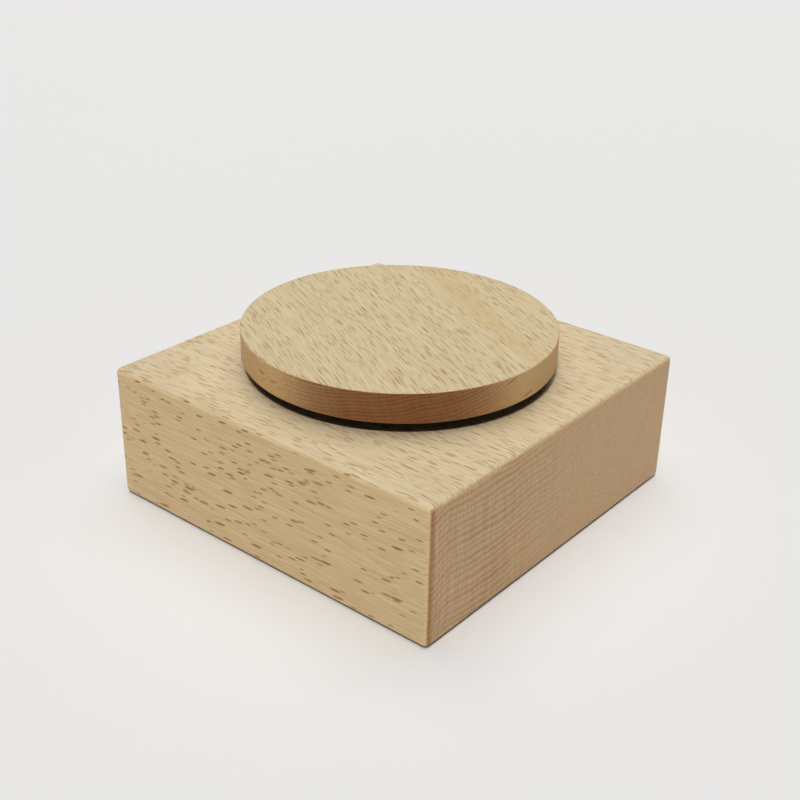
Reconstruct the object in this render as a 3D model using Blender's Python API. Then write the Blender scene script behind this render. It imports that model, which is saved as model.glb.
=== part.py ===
"""A hand-wound music box: a square beech case with a beech disc that turns on top of it.

The case is one block of wood, routed out from below. A comb movement of eighteen notes
hangs under its top panel. The disc is screwed to the movement's winding arbor: turning it
clockwise, seen from above, winds the mainspring, and the spring then turns it back while
the pinned cylinder plucks the comb and a fan governor holds the speed.

Lengths are in metres, written as millimetres times MM. +Z is up, the pads stand on z = 0,
the winding arbor is on the Z axis, and the grain of the case runs along X.
"""

import math

import bmesh
import bpy
from mathutils import Matrix, Vector

MM = 0.001
GAP = 0.3 * MM              # between pieces that rest on or seat in each other
RUNNING_GAP = 0.2 * MM      # between a shaft and its bearing, on the radius
TOOTH_GAP = 0.4 * MM        # along an axis, between a wheel and what it turns beside

# The case
CASE_SIDE = 100 * MM
CASE_HEIGHT = 35.4 * MM
CASE_TOP_ROUND = 1.4 * MM
CASE_UPRIGHT_ROUND = 1.3 * MM
CASE_BOTTOM_ROUND = 1.0 * MM
TOP_PANEL = 4.5 * MM
POCKET_CORNER = 16 * MM
BOARD_THICKNESS = 3 * MM
BOARD_INSET = 0.5 * MM
BOARD_CORNER = 3 * MM
LEDGE = 2.5 * MM
PAD_RADIUS = 5 * MM
PAD_PROUD = 0.5 * MM
PAD_FROM_EDGE = 12 * MM

# The turning disc and what fastens it
DISC_RADIUS = 39.5 * MM
DISC_THICKNESS = 7.7 * MM
DISC_EDGE = 0.35 * MM
FLANGE_RADIUS = 12 * MM
FLANGE_THICKNESS = 1.7 * MM
HUB_RADIUS = 3.5 * MM
FLANGE_SCREW_CIRCLE = 8.2 * MM
WASHER_RADIUS = 7.5 * MM
WASHER_THICKNESS = 0.6 * MM
BUSH_RADIUS = 5 * MM

# The movement: bedplate and winding arbor
PLATE_THICKNESS = 3 * MM
PLATE_MARGIN = 0.5 * MM      # of the plate, outside what is screwed to it
PLATE_ROOM = 2.25 * MM       # from the plate to the wall of the case's pocket
PLATE_CORNER = 2.5 * MM
ARBOR_RADIUS = 1.75 * MM
ARBOR_PIVOT = 1.2 * MM
SPRING_CORE = 3.0 * MM
DRUM_RADIUS = 11.2 * MM
DRUM_WALL = 0.8 * MM
DRUM_DEPTH = 10.5 * MM
DRUM_FOOT_ANGLES = (45, 135, 270)
DRUM_FOOT_WIDTH = 4 * MM
DRUM_FOOT_LENGTH = 2.8 * MM
SPRING_THICKNESS = 0.45 * MM
SPRING_TURNS = 5.5
RATCHET_TEETH = 12
RATCHET_RADIUS = 4.8 * MM
RATCHET_THICKNESS = 0.8 * MM
RATCHET_BITE = 0.2           # of its radius that a tooth is deep
RATCHET_SLOPE = 0.9          # of the pitch that a tooth's sloping side takes
CLICK_ANGLE = 200            # degrees round the arbor
CLICK_WIDTH = 2.6 * MM
CLICK_TAPER = 1.5 * MM       # of its length, at the tail
WHEEL_HUB = 3.5 * MM

# The gears: teeth, modules and face widths
CROWN_TEETH = 48
CROWN_FACE = 1.8 * MM
CROWN_THICKNESS = 1.2 * MM
PINION_TEETH = 22
CYLINDER_WHEEL_TEETH = 40
CYLINDER_WHEEL_MODULE = 0.35 * MM
CYLINDER_WHEEL_FACE = 1.0 * MM
LEAVES = 8
FIRST_WHEEL_TEETH = 30
FINE_MODULE = 0.3 * MM
FIRST_WHEEL_FACE = 0.8 * MM
WORM_WHEEL_TEETH = 20
WORM_WHEEL_FACE = 1.2 * MM
WORM_PITCH_RADIUS = 1.0 * MM
ADDENDUM = 0.85             # of the module
DEDENDUM = 1.2              # of the module
TOOTH_SHARE = 0.38          # of the pitch that a tooth fills, which leaves the backlash
TOOTH_FOOT = 1.35           # of its width on the pitch line
TOOTH_TIP = 0.45            # of its width on the pitch line

# The cylinder and the comb
NOTES = 18
NOTE_PITCH = 0.92 * MM
CYLINDER_RADIUS = 6.5 * MM
CYLINDER_WALL = 0.8 * MM
HEADROOM = 2.2 * MM         # from the cylinder or its wheel up to the bedplate
CYLINDER_STEPS = 48         # places for a pin round the cylinder
PIN_HEIGHT = 0.7 * MM
PIN_MARGIN = 0.24 * MM
CAP_THICKNESS = 0.8 * MM
CYLINDER_ARBOR = 0.9 * MM
COMB_THICKNESS = 1.0 * MM
COMB_SLOT = 0.25 * MM
COMB_CLEAR = 0.25 * MM      # from the pins' ends to the tips of the comb's teeth
COMB_DEPTH = 15 * MM
LONG_TOOTH = 8.5 * MM
SHORT_TOOTH = 5.5 * MM
COMB_BED_DEPTH = 6.5 * MM
COMB_SCREW_SHARES = (0.25, 0.75)

# The governor
TRAIN_ARBOR = 0.5 * MM
CHEEK = 1.0 * MM
CHEEK_EDGE = 2.2 * MM       # of a cheek past the middle of a bearing hole
FRAME_FLANGE = 1.2 * MM
POST_THICKNESS = 1.6 * MM
FIRST_ANGLE = 10            # degrees, from the cylinder's axis to the first arbor
SECOND_ANGLE = -60          # degrees, from the first arbor to the second
WORM_SHAFT = 0.6 * MM
WORM_TURNS = 6
FAN_RADIUS = 4 * MM
FAN_HEIGHT = 2.8 * MM
FAN_THICKNESS = 0.4 * MM
FAN_HUB = 1.1 * MM
END_PLATE = 0.6 * MM

# Screws: head radius, head height, shank radius, and length under the head
MOUNT_HEAD = (2.5 * MM, 1.6 * MM, 1.2 * MM)
BOARD_SCREW = (2.4 * MM, 1.4 * MM, 1.25 * MM, 11 * MM)
FLANGE_SCREW = (1.9 * MM, 1.0 * MM, 0.9 * MM, 5.5 * MM)
COMB_SCREW = (1.9 * MM, 1.2 * MM, 1.1 * MM, 5.5 * MM)
SMALL_SCREW = (1.3 * MM, 0.7 * MM, 0.65 * MM, 2.6 * MM)
SHORT_SCREW = (1.1 * MM, 0.6 * MM, 0.55 * MM, 1.4 * MM)
SCREW_DOME = 0.8             # of a head's radius that is flat on top
CROSS_REACH = 0.55           # of a head's radius, to the end of the cross
CROSS_WIDTH = 0.26           # of a head's radius, across one arm of the cross
MOUNT_FROM_EDGE = 3.8 * MM   # from the bedplate's edge to a mounting screw
POST_SCREW_REACH = 3 * MM    # from the bearing post to the screw in its foot
FRAME_SCREW_STEP = 6 * MM    # from the first arbor forward to the frame's front screw
END_SCREW_STEP = 2.6 * MM    # from the worm forward to the end plate's screw

# Heights that follow from these sizes
CASE_BOTTOM = PAD_PROUD
CASE_TOP = CASE_BOTTOM + CASE_HEIGHT
PANEL_UNDER = CASE_TOP - TOP_PANEL
BOARD_UNDER = CASE_BOTTOM + BOARD_INSET
BOARD_TOP = BOARD_UNDER + BOARD_THICKNESS
FLANGE_UNDER = CASE_TOP + RUNNING_GAP + WASHER_THICKNESS + GAP
FLANGE_TOP = FLANGE_UNDER + FLANGE_THICKNESS
DISC_UNDER = FLANGE_TOP + GAP
DISC_TOP = DISC_UNDER + DISC_THICKNESS
PLATE_TOP = PANEL_UNDER - GAP
PLATE_UNDER = PLATE_TOP - PLATE_THICKNESS
FEET_TOP = PLATE_UNDER - GAP
WHEEL_TIP = (CYLINDER_WHEEL_TEETH / 2 + ADDENDUM) * CYLINDER_WHEEL_MODULE
AXIS_Z = PLATE_UNDER - HEADROOM - max(CYLINDER_RADIUS + PIN_HEIGHT, WHEEL_TIP)
MOUNT_SEAT = CASE_TOP - MOUNT_HEAD[1] - 2 * GAP
MOUNT_SCREW = (*MOUNT_HEAD, MOUNT_SEAT - PLATE_UNDER - GAP)

# Gear radii and arbor places
CROWN_MEAN = DRUM_RADIUS + TOOTH_GAP + CROWN_FACE / 2
CROWN_MODULE = 2 * CROWN_MEAN / CROWN_TEETH
PINION_RADIUS = CROWN_MODULE * PINION_TEETH / 2
CROWN_PITCH_Z = AXIS_Z + PINION_RADIUS
CROWN_INNER = CROWN_MEAN - CROWN_FACE / 2
CROWN_OUTER = CROWN_MEAN + CROWN_FACE / 2
CROWN_RIM = CROWN_OUTER + GAP / 3
CROWN_UNDER = CROWN_PITCH_Z + DEDENDUM * CROWN_MODULE
FIRST_REACH = (CYLINDER_WHEEL_TEETH + LEAVES) * CYLINDER_WHEEL_MODULE / 2
SECOND_REACH = (FIRST_WHEEL_TEETH + LEAVES) * FINE_MODULE / 2
WORM_REACH = WORM_WHEEL_TEETH * FINE_MODULE / 2 + WORM_PITCH_RADIUS
WORM_LEAD = math.pi * FINE_MODULE


def step(start, reach, degrees):
    """The (y, z) place that lies a given way from another."""
    angle = math.radians(degrees)
    return start[0] + reach * math.cos(angle), start[1] + reach * math.sin(angle)


CYLINDER_AT = (0.0, AXIS_Z)
FIRST_AT = step(CYLINDER_AT, FIRST_REACH, FIRST_ANGLE)
SECOND_AT = step(FIRST_AT, SECOND_REACH, SECOND_ANGLE)
WORM_Y = SECOND_AT[0] + WORM_REACH

# Places along X, from the drum to the outer cheek
POST_X = CROWN_RIM + TOOTH_GAP
CYLINDER_X = POST_X + POST_THICKNESS + TOOTH_GAP
CYLINDER_END = CYLINDER_X + NOTES * NOTE_PITCH
INNER_CHEEK_X = CYLINDER_END + TOOTH_GAP
TRAIN_X = INNER_CHEEK_X + CHEEK + TOOTH_GAP
WORM_X = TRAIN_X + WORM_WHEEL_FACE / 2
FIRST_WHEEL_X = TRAIN_X + WORM_WHEEL_FACE + GAP
OUTER_CHEEK_X = FIRST_WHEEL_X + FIRST_WHEEL_FACE + 2 * TOOTH_GAP
FRAME_RIGHT = OUTER_CHEEK_X + CHEEK
FLANGE_RIGHT = FRAME_RIGHT + TOOTH_GAP

# The comb, the drum's feet, and the bedplate that reaches round them
COMB_TIP = -(CYLINDER_RADIUS + PIN_HEIGHT + COMB_CLEAR)
COMB_FRONT = COMB_TIP - COMB_DEPTH
FRAME_BACK = WORM_Y + CHEEK_EDGE
RISER = CROWN_RIM + GAP
FOOT_REACH = RISER + DRUM_WALL + DRUM_FOOT_LENGTH
PLATE_LEFT = -(FOOT_REACH + DRUM_FOOT_WIDTH / 2) * math.sqrt(0.5) - PLATE_MARGIN
PLATE_RIGHT = FLANGE_RIGHT
PLATE_FRONT = COMB_FRONT - PLATE_MARGIN
PLATE_BACK = FRAME_BACK + PLATE_MARGIN

# Half widths of the pocket, which takes the bedplate, and of the board that closes it
POCKET_HALF = PLATE_RIGHT + PLATE_ROOM
REBATE_HALF = POCKET_HALF + LEDGE
BOARD_HALF = REBATE_HALF - GAP

# Places of the screws, each (x, y)
MOUNT_PLACES = (
    (PLATE_LEFT + MOUNT_FROM_EDGE, PLATE_FRONT + MOUNT_FROM_EDGE),
    ((CYLINDER_X + CYLINDER_END) / 2, PLATE_FRONT + MOUNT_FROM_EDGE),
    (0.0, PLATE_BACK - MOUNT_FROM_EDGE),
)
BOARD_PLACE = (POCKET_HALF - POCKET_CORNER * (1 - math.sqrt(0.5))
               + REBATE_HALF - BOARD_CORNER * (1 - math.sqrt(0.5))) / 2
BOARD_PLACES = [(x * BOARD_PLACE, y * BOARD_PLACE) for x in (-1, 1) for y in (-1, 1)]
COMB_PLACES = [(CYLINDER_X + share * (CYLINDER_END - CYLINDER_X), COMB_FRONT + COMB_BED_DEPTH / 2)
               for share in COMB_SCREW_SHARES]
POST_PLACE = (POST_X + POST_THICKNESS + POST_SCREW_REACH, 0.0)
FRAME_SCREW_X = FLANGE_RIGHT - SMALL_SCREW[0] - GAP / 3
FRAME_PLACES = [(FRAME_SCREW_X, FIRST_AT[0] - FRAME_SCREW_STEP), (FRAME_SCREW_X, WORM_Y)]
END_PLACE = (OUTER_CHEEK_X - SHORT_SCREW[0], WORM_Y - END_SCREW_STEP)

# The drum and what it holds, from its rim down
DRUM_TOP = CROWN_PITCH_Z - ADDENDUM * CROWN_MODULE - GAP
DRUM_BOTTOM = DRUM_TOP - DRUM_DEPTH
SPRING_TOP = DRUM_TOP - DRUM_WALL - GAP
SPRING_BOTTOM = DRUM_BOTTOM + DRUM_WALL + GAP

# Heights inside the governor
WORM_HALF = WORM_TURNS * WORM_LEAD / 2
FAN_TOP = SECOND_AT[1] - WORM_WHEEL_TEETH * FINE_MODULE / 2 - 3 * GAP
FAN_BOTTOM = FAN_TOP - FAN_HEIGHT
ARM_TOP = FAN_BOTTOM - 2 * GAP
ARM_UNDER = ARM_TOP - CHEEK


# Scene, finishes and objects

def clear_scene():
    """Start from an empty scene."""
    for thing in list(bpy.data.objects):
        bpy.data.objects.remove(thing, do_unlink=True)


def finish(name, colour, roughness, metallic=0.0):
    """A Principled material with one colour, roughness and metallic value."""
    material = bpy.data.materials.new(name)
    material.use_nodes = True
    shader = material.node_tree.nodes["Principled BSDF"]
    shader.inputs["Base Color"].default_value = (*colour, 1.0)
    shader.inputs["Roughness"].default_value = roughness
    shader.inputs["Metallic"].default_value = metallic
    return material


clear_scene()
BEECH_CASE = finish("beech_case", (0.60, 0.43, 0.24), 0.55)
BEECH_DISC = finish("beech_disc", (0.66, 0.50, 0.30), 0.55)
PLYWOOD = finish("birch_plywood", (0.62, 0.48, 0.30), 0.6)
FOAM = finish("foam_pad", (0.03, 0.03, 0.03), 0.9)
STEEL = finish("bright_steel", (0.55, 0.55, 0.56), 0.3, 1.0)
SPRING_STEEL = finish("spring_steel", (0.12, 0.13, 0.17), 0.35, 1.0)
BRASS = finish("brass", (0.72, 0.53, 0.22), 0.3, 1.0)
ZINC = finish("cast_zinc", (0.50, 0.50, 0.51), 0.45, 1.0)
NYLON = finish("nylon", (0.80, 0.79, 0.74), 0.5)


def pivot(name, at=(0, 0, 0)):
    """An empty on a joint's axis, which the pieces that turn there are parented to."""
    empty = bpy.data.objects.new(name, None)
    empty.location = at
    bpy.context.collection.objects.link(empty)
    return empty


def piece(name, shape, material, parent=None, at=(0, 0, 0), flip=False):
    """One named object from a bmesh or a mesh, shaded smooth between its crisp edges."""
    mesh = shape
    if isinstance(shape, bmesh.types.BMesh):
        mesh = bpy.data.meshes.new(name)
        shape.to_mesh(mesh)
        shape.free()
    if not mesh.materials:
        mesh.materials.append(material)
    mesh.shade_smooth()
    mesh.set_sharp_from_angle(angle=math.radians(35))
    thing = bpy.data.objects.new(name, mesh)
    thing.location = at
    thing.rotation_euler = (math.pi if flip else 0, 0, 0)
    thing.parent = parent
    bpy.context.collection.objects.link(thing)
    return thing


def boolean(thing, shape, operation):
    """Join a shape to a piece, or cut it out, with a hidden helper object."""
    mesh = bpy.data.meshes.new(thing.name + "_helper")
    shape.to_mesh(mesh)
    shape.free()
    helper = bpy.data.objects.new(mesh.name, mesh)
    helper.parent = thing.parent
    helper.hide_render = True
    helper.display_type = "WIRE"
    bpy.context.collection.objects.link(helper)
    modifier = thing.modifiers.new(operation.lower(), "BOOLEAN")
    modifier.operation = operation
    modifier.solver = "EXACT"
    modifier.object = helper
    return helper


def join(thing, shape):
    """Fuse a shape to a piece."""
    return boolean(thing, shape, "UNION")


def cut(thing, shape):
    """Cut a shape out of a piece."""
    return boolean(thing, shape, "DIFFERENCE")


# Shapes, each a new bmesh

def closed(bm):
    """Merge doubled vertices and turn every face outwards."""
    bmesh.ops.remove_doubles(bm, verts=bm.verts, dist=1e-7)
    bmesh.ops.recalc_face_normals(bm, faces=bm.faces)
    return bm


def slab(outline, low, high, along="Z"):
    """An outline extruded between two heights along an axis.

    Along Z the outline holds (x, y) points, along X it holds (y, z) points, and along Y it
    holds (x, z) points.
    """
    bm = bmesh.new()
    place = "XYZ".index(along)
    face = bm.faces.new([bm.verts.new((*point[:place], low, *point[place:])) for point in outline])
    grown = bmesh.ops.extrude_face_region(bm, geom=[face])["geom"]
    moved = [item for item in grown if isinstance(item, bmesh.types.BMVert)]
    way = Vector()
    way[place] = high - low
    bmesh.ops.translate(bm, verts=moved, vec=way)
    return closed(bm)


def turned(profile, sides, along="Z", at=(0, 0)):
    """A profile of (radius, height) points turned about an upright line or the X axis."""
    bm = bmesh.new()
    points = [bm.verts.new((radius, 0, height)) for radius, height in profile]
    edges = [bm.edges.new(pair) for pair in zip(points, points[1:])]
    if profile[0][0] > 0:
        edges.append(bm.edges.new((points[-1], points[0])))
    bmesh.ops.spin(bm, geom=points + edges, cent=(0, 0, 0), axis=(0, 0, 1),
                   angle=2 * math.pi, steps=sides, use_merge=True)
    if along == "X":
        bmesh.ops.rotate(bm, verts=bm.verts, matrix=Matrix.Rotation(math.pi / 2, 3, "Y"))
    bmesh.ops.translate(bm, verts=bm.verts, vec=(*at, 0))
    return closed(bm)


def ring(inner, outer, low, high, sides, along="Z"):
    """A plain ring or tube about an axis."""
    return turned([(inner, high), (outer, high), (outer, low), (inner, low)], sides, along)


def rods(places, radius, low, high, sides=12, along="Z"):
    """Equal round rods, one through each place beside the axis, for joining or cutting."""
    bm = bmesh.new()
    middle = (low + high) / 2
    for a, b in places:
        spot = (middle, a, b) if along == "X" else (a, b, middle)
        turn = Matrix.Rotation(math.pi / 2 if along == "X" else 0, 4, "Y")
        bmesh.ops.create_cone(bm, cap_ends=True, segments=sides, radius1=radius, radius2=radius,
                              depth=high - low, matrix=Matrix.Translation(spot) @ turn)
    return bm


def through(places, radius, low, high, sides=12, along="Z"):
    """Rods that run past both faces of what they cut, for holes."""
    return rods(places, radius, low - GAP, high + GAP, sides, along)


def countersinks(places, screw, under, top):
    """Cutters for flat screw heads let into an under side, with a hole on through."""
    head, rise, shank = screw[:3]
    profile = [(0, under - GAP), (head + 2 * GAP, under - GAP), (shank + GAP, under + rise),
               (shank + GAP, top + GAP), (0, top + GAP)]
    return [turned(profile, 12, at=place) for place in places]


def rounded_outline(left, right, front, back, radius, steps=4):
    """The corners of a rectangle, each turned into an arc."""
    points = []
    corners = (
        (right - radius, back - radius, 0),
        (left + radius, back - radius, 90),
        (left + radius, front + radius, 180),
        (right - radius, front + radius, 270),
    )
    for x, y, start in corners:
        for index in range(steps + 1):
            angle = math.radians(start + 90 * index / steps)
            points.append((x + radius * math.cos(angle), y + radius * math.sin(angle)))
    return points


def square_outline(half, radius, steps=4):
    """A square with rounded corners about the origin."""
    return rounded_outline(-half, half, -half, half, radius, steps)


def box_outline(left, right, low, high):
    """The four corners of a rectangle."""
    return [(left, low), (right, low), (right, high), (left, high)]


def tooth_shape(module, half):
    """A tooth's (height over the pitch line, half width) points, from its foot to its tip."""
    foot, tip = half * TOOTH_FOOT, half * TOOTH_TIP
    return (-DEDENDUM * module, foot), (0.0, half), (ADDENDUM * module, tip)


def gear(teeth, module, low, high, lead=0.0):
    """A spur gear about the X axis, without its bore, with one tooth centred at lead."""
    flank = tooth_shape(module, math.pi * TOOTH_SHARE / teeth)
    points = []
    for index in range(teeth):
        middle = lead + 2 * math.pi * index / teeth
        for rise, spread in flank:
            points.append((module * teeth / 2 + rise, middle - spread))
        for rise, spread in reversed(flank):
            points.append((module * teeth / 2 + rise, middle + spread))
    outline = [(radius * math.cos(angle), radius * math.sin(angle)) for radius, angle in points]
    return slab(outline, low, high, along="X")


# Screws

def screw_mesh(name, sizes, material, sunk=False):
    """A cross-headed screw that points down, with its head's under side at z = 0.

    A sunk screw has a flat head instead, whose top is at z = 0.
    """
    head, rise, shank, length = sizes
    if sunk:
        top = 0.0
        profile = [(0, 0), (head, 0), (shank, -rise), (shank, shank - length), (0, -length)]
    else:
        top = rise
        profile = [(0, rise), (head * SCREW_DOME, rise), (head, rise / 2), (head, 0), (shank, 0),
                   (shank, shank / 2 - length), (0, -length)]
    thing = piece(name, turned(profile, 12), material)
    arm, half = head * CROSS_REACH, head * CROSS_WIDTH / 2
    quarter = [(arm, -half), (arm, half), (half, half)]
    cross = [spot for turns in range(4) for spot in quarter_turned(quarter, turns)]
    helper = cut(thing, slab(cross, top - rise / 2, top + rise))
    graph = bpy.context.evaluated_depsgraph_get()
    mesh = bpy.data.meshes.new_from_object(thing.evaluated_get(graph))
    for spare in (thing, helper):
        bpy.data.objects.remove(spare, do_unlink=True)
    return mesh


def quarter_turned(points, turns):
    """Points turned by quarter turns about the origin."""
    for _ in range(turns):
        points = [(-y, x) for x, y in points]
    return points


def screws(name, sizes, places, height, material, parent=None, sunk=False, flip=True):
    """Screws that share one mesh, numbered where there are several. Most point up."""
    mesh = screw_mesh(name, sizes, material, sunk)
    for number, (x, y) in enumerate(places, start=1):
        label = f"{name}_{number}" if len(places) > 1 else name
        piece(label, mesh, material, parent, (x, y, height), flip)


# The case and what closes it

def case_block():
    """The block of wood, each of its edges rounded by its own amount."""
    bm = bmesh.new()
    bmesh.ops.create_cube(bm, size=1)
    bmesh.ops.scale(bm, verts=bm.verts, vec=(CASE_SIDE, CASE_SIDE, CASE_HEIGHT))
    bmesh.ops.translate(bm, verts=bm.verts, vec=(0, 0, (CASE_BOTTOM + CASE_TOP) / 2))
    weights = bm.edges.layers.float.new("bevel_weight_edge")
    for edge in bm.edges:
        low, high = sorted(vert.co.z for vert in edge.verts)
        size = CASE_UPRIGHT_ROUND
        if high == low:
            size = CASE_TOP_ROUND if low > CASE_HEIGHT / 2 else CASE_BOTTOM_ROUND
        edge[weights] = size / CASE_TOP_ROUND
    block = piece("case_body", bm, BEECH_CASE)
    rounding = block.modifiers.new("rounding", "BEVEL")
    rounding.limit_method = "WEIGHT"
    rounding.width = CASE_TOP_ROUND
    rounding.segments = 4
    return block


def case_body():
    """The block with its pocket, its rebate and the holes for the arbor and the screws."""
    block = case_block()
    cut(block, slab(square_outline(POCKET_HALF, POCKET_CORNER, 6), 0, PANEL_UNDER))
    cut(block, slab(square_outline(REBATE_HALF, BOARD_CORNER), 0, BOARD_TOP + GAP))
    cut(block, through([(0, 0)], BUSH_RADIUS + GAP, PANEL_UNDER, CASE_TOP, 24))
    head, _, shank, _ = MOUNT_SCREW
    cut(block, through(MOUNT_PLACES, shank + GAP, PANEL_UNDER, CASE_TOP))
    cut(block, through(MOUNT_PLACES, head + GAP, MOUNT_SEAT, CASE_TOP, 16))
    _, _, shank, length = BOARD_SCREW
    cut(block, rods(BOARD_PLACES, shank + GAP, BOARD_TOP, BOARD_UNDER + length + GAP))


def bottom_board():
    """The thin board let into the rebate, with its four screws."""
    outline = square_outline(BOARD_HALF, BOARD_CORNER - GAP)
    board = piece("bottom_board", slab(outline, BOARD_UNDER, BOARD_TOP), PLYWOOD)
    for sink in countersinks(BOARD_PLACES, BOARD_SCREW, BOARD_UNDER, BOARD_TOP):
        cut(board, sink)
    screws("board_screw", BOARD_SCREW, BOARD_PLACES, BOARD_UNDER, STEEL, sunk=True)


def foot_pads():
    """Four round foam pads stuck to the board, which lift the case off the table."""
    top = BOARD_UNDER - GAP
    profile = [(0, 0), (PAD_RADIUS - top / 4, 0), (PAD_RADIUS, top / 3), (PAD_RADIUS, top), (0, top)]
    reach = BOARD_HALF - PAD_FROM_EDGE
    for number, (x, y) in enumerate(((-1, -1), (1, -1), (1, 1), (-1, 1)), start=1):
        piece(f"foot_pad_{number}", turned(profile, 24), FOAM, at=(x * reach, y * reach, 0))


def arbor_bush():
    """The brass bush pressed into the case's top, which the flange's hub turns in."""
    bush = ring(HUB_RADIUS + RUNNING_GAP, BUSH_RADIUS, PANEL_UNDER + GAP, CASE_TOP - GAP, 24)
    piece("arbor_bush", bush, BRASS)


def thrust_washer():
    """The nylon washer between the case's top and the turning flange."""
    low = CASE_TOP + RUNNING_GAP
    washer = ring(HUB_RADIUS + RUNNING_GAP, WASHER_RADIUS, low, low + WASHER_THICKNESS, 24)
    piece("thrust_washer", washer, NYLON)


# What turns with the disc

def flange_places():
    """Three places round the flange, where it is screwed to the disc."""
    angles = [math.radians(90 + 120 * index) for index in range(3)]
    return [(FLANGE_SCREW_CIRCLE * math.cos(a), FLANGE_SCREW_CIRCLE * math.sin(a)) for a in angles]


def turntable_disc(axis):
    """The wooden disc, with a fine chamfer on both edges and pilot holes underneath."""
    edge = DISC_EDGE
    profile = [(0, DISC_TOP), (DISC_RADIUS - edge, DISC_TOP), (DISC_RADIUS, DISC_TOP - edge),
               (DISC_RADIUS, DISC_UNDER + edge), (DISC_RADIUS - edge, DISC_UNDER), (0, DISC_UNDER)]
    disc = piece("turntable_disc", turned(profile, 80), BEECH_DISC, axis)
    _, _, shank, length = FLANGE_SCREW
    pilots = rods(flange_places(), shank + GAP, DISC_UNDER - GAP, FLANGE_UNDER + length + GAP)
    cut(disc, pilots)


def disc_flange(axis):
    """The steel flange under the disc, its hub for the arbor, and its three wood screws."""
    bore, hub_end = ARBOR_RADIUS + GAP, CASE_TOP - TOP_PANEL / 2
    profile = [(bore, FLANGE_TOP), (FLANGE_RADIUS, FLANGE_TOP), (FLANGE_RADIUS, FLANGE_UNDER),
               (HUB_RADIUS, FLANGE_UNDER), (HUB_RADIUS, hub_end), (bore, hub_end)]
    flange = piece("disc_flange", turned(profile, 24), STEEL, axis)
    for sink in countersinks(flange_places(), FLANGE_SCREW, FLANGE_UNDER, FLANGE_TOP):
        cut(flange, sink)
    screws("flange_screw", FLANGE_SCREW, flange_places(), FLANGE_UNDER, STEEL, axis, sunk=True)


def winding_arbor(axis):
    """The arbor, from the disc's flange down through the bedplate to the drum's far end."""
    profile = [(0, FLANGE_TOP), (ARBOR_RADIUS, FLANGE_TOP), (ARBOR_RADIUS, SPRING_TOP),
               (SPRING_CORE, SPRING_TOP), (SPRING_CORE, SPRING_BOTTOM), (ARBOR_PIVOT, SPRING_BOTTOM),
               (ARBOR_PIVOT, DRUM_BOTTOM - GAP), (0, DRUM_BOTTOM - GAP)]
    piece("winding_arbor", turned(profile, 20), STEEL, axis)


def ratchet_wheel(axis):
    """The saw-toothed wheel on the arbor, which drives the click one way and slips the other."""
    high = CROWN_UNDER - GAP
    low = high - RATCHET_THICKNESS
    outline = []
    root = RATCHET_RADIUS * (1 - RATCHET_BITE)
    for index in range(RATCHET_TEETH):
        for share, radius in ((0, root), (RATCHET_SLOPE, RATCHET_RADIUS)):
            angle = 2 * math.pi * (index + share) / RATCHET_TEETH
            outline.append((radius * math.cos(angle), radius * math.sin(angle)))
    wheel = piece("ratchet_wheel", slab(outline, low, high), STEEL, axis)
    cut(wheel, through([(0, 0)], ARBOR_RADIUS + RUNNING_GAP, low, high, 16))


def turntable():
    """Everything that turns with the disc, on one axis."""
    axis = pivot("turntable_axis")
    turntable_disc(axis)
    disc_flange(axis)
    winding_arbor(axis)
    ratchet_wheel(axis)


# The spring motor

def drum_places():
    """Where the drum's feet are screwed to the bedplate."""
    reach = (RISER + DRUM_WALL + FOOT_REACH) / 2
    return [(reach * math.cos(math.radians(a)), reach * math.sin(math.radians(a)))
            for a in DRUM_FOOT_ANGLES]


def spring_drum():
    """The steel cup that holds the mainspring, hung from the bedplate by three bent feet."""
    inner, hole = DRUM_RADIUS - DRUM_WALL, ARBOR_PIVOT + RUNNING_GAP
    floor = DRUM_BOTTOM + DRUM_WALL
    profile = [(hole, DRUM_BOTTOM), (DRUM_RADIUS, DRUM_BOTTOM), (DRUM_RADIUS, DRUM_TOP),
               (inner, DRUM_TOP), (inner, floor), (hole, floor)]
    drum = piece("spring_drum", turned(profile, 36), STEEL)
    root, bend = inner + DRUM_WALL / 2, RISER + DRUM_WALL
    under = FEET_TOP - DRUM_WALL
    foot = [(root, DRUM_TOP - DRUM_WALL), (bend, DRUM_TOP - DRUM_WALL), (bend, under),
            (FOOT_REACH, under), (FOOT_REACH, FEET_TOP), (RISER, FEET_TOP), (RISER, DRUM_TOP),
            (root, DRUM_TOP)]
    for degrees in DRUM_FOOT_ANGLES:
        shape = slab(foot, -DRUM_FOOT_WIDTH / 2, DRUM_FOOT_WIDTH / 2, along="Y")
        bmesh.ops.rotate(shape, verts=shape.verts, matrix=Matrix.Rotation(math.radians(degrees), 3, "Z"))
        join(drum, shape)
    cut(drum, through(drum_places(), SMALL_SCREW[2] + RUNNING_GAP, under, FEET_TOP))
    screws("drum_screw", SMALL_SCREW, drum_places(), under - RUNNING_GAP, BRASS)


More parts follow.
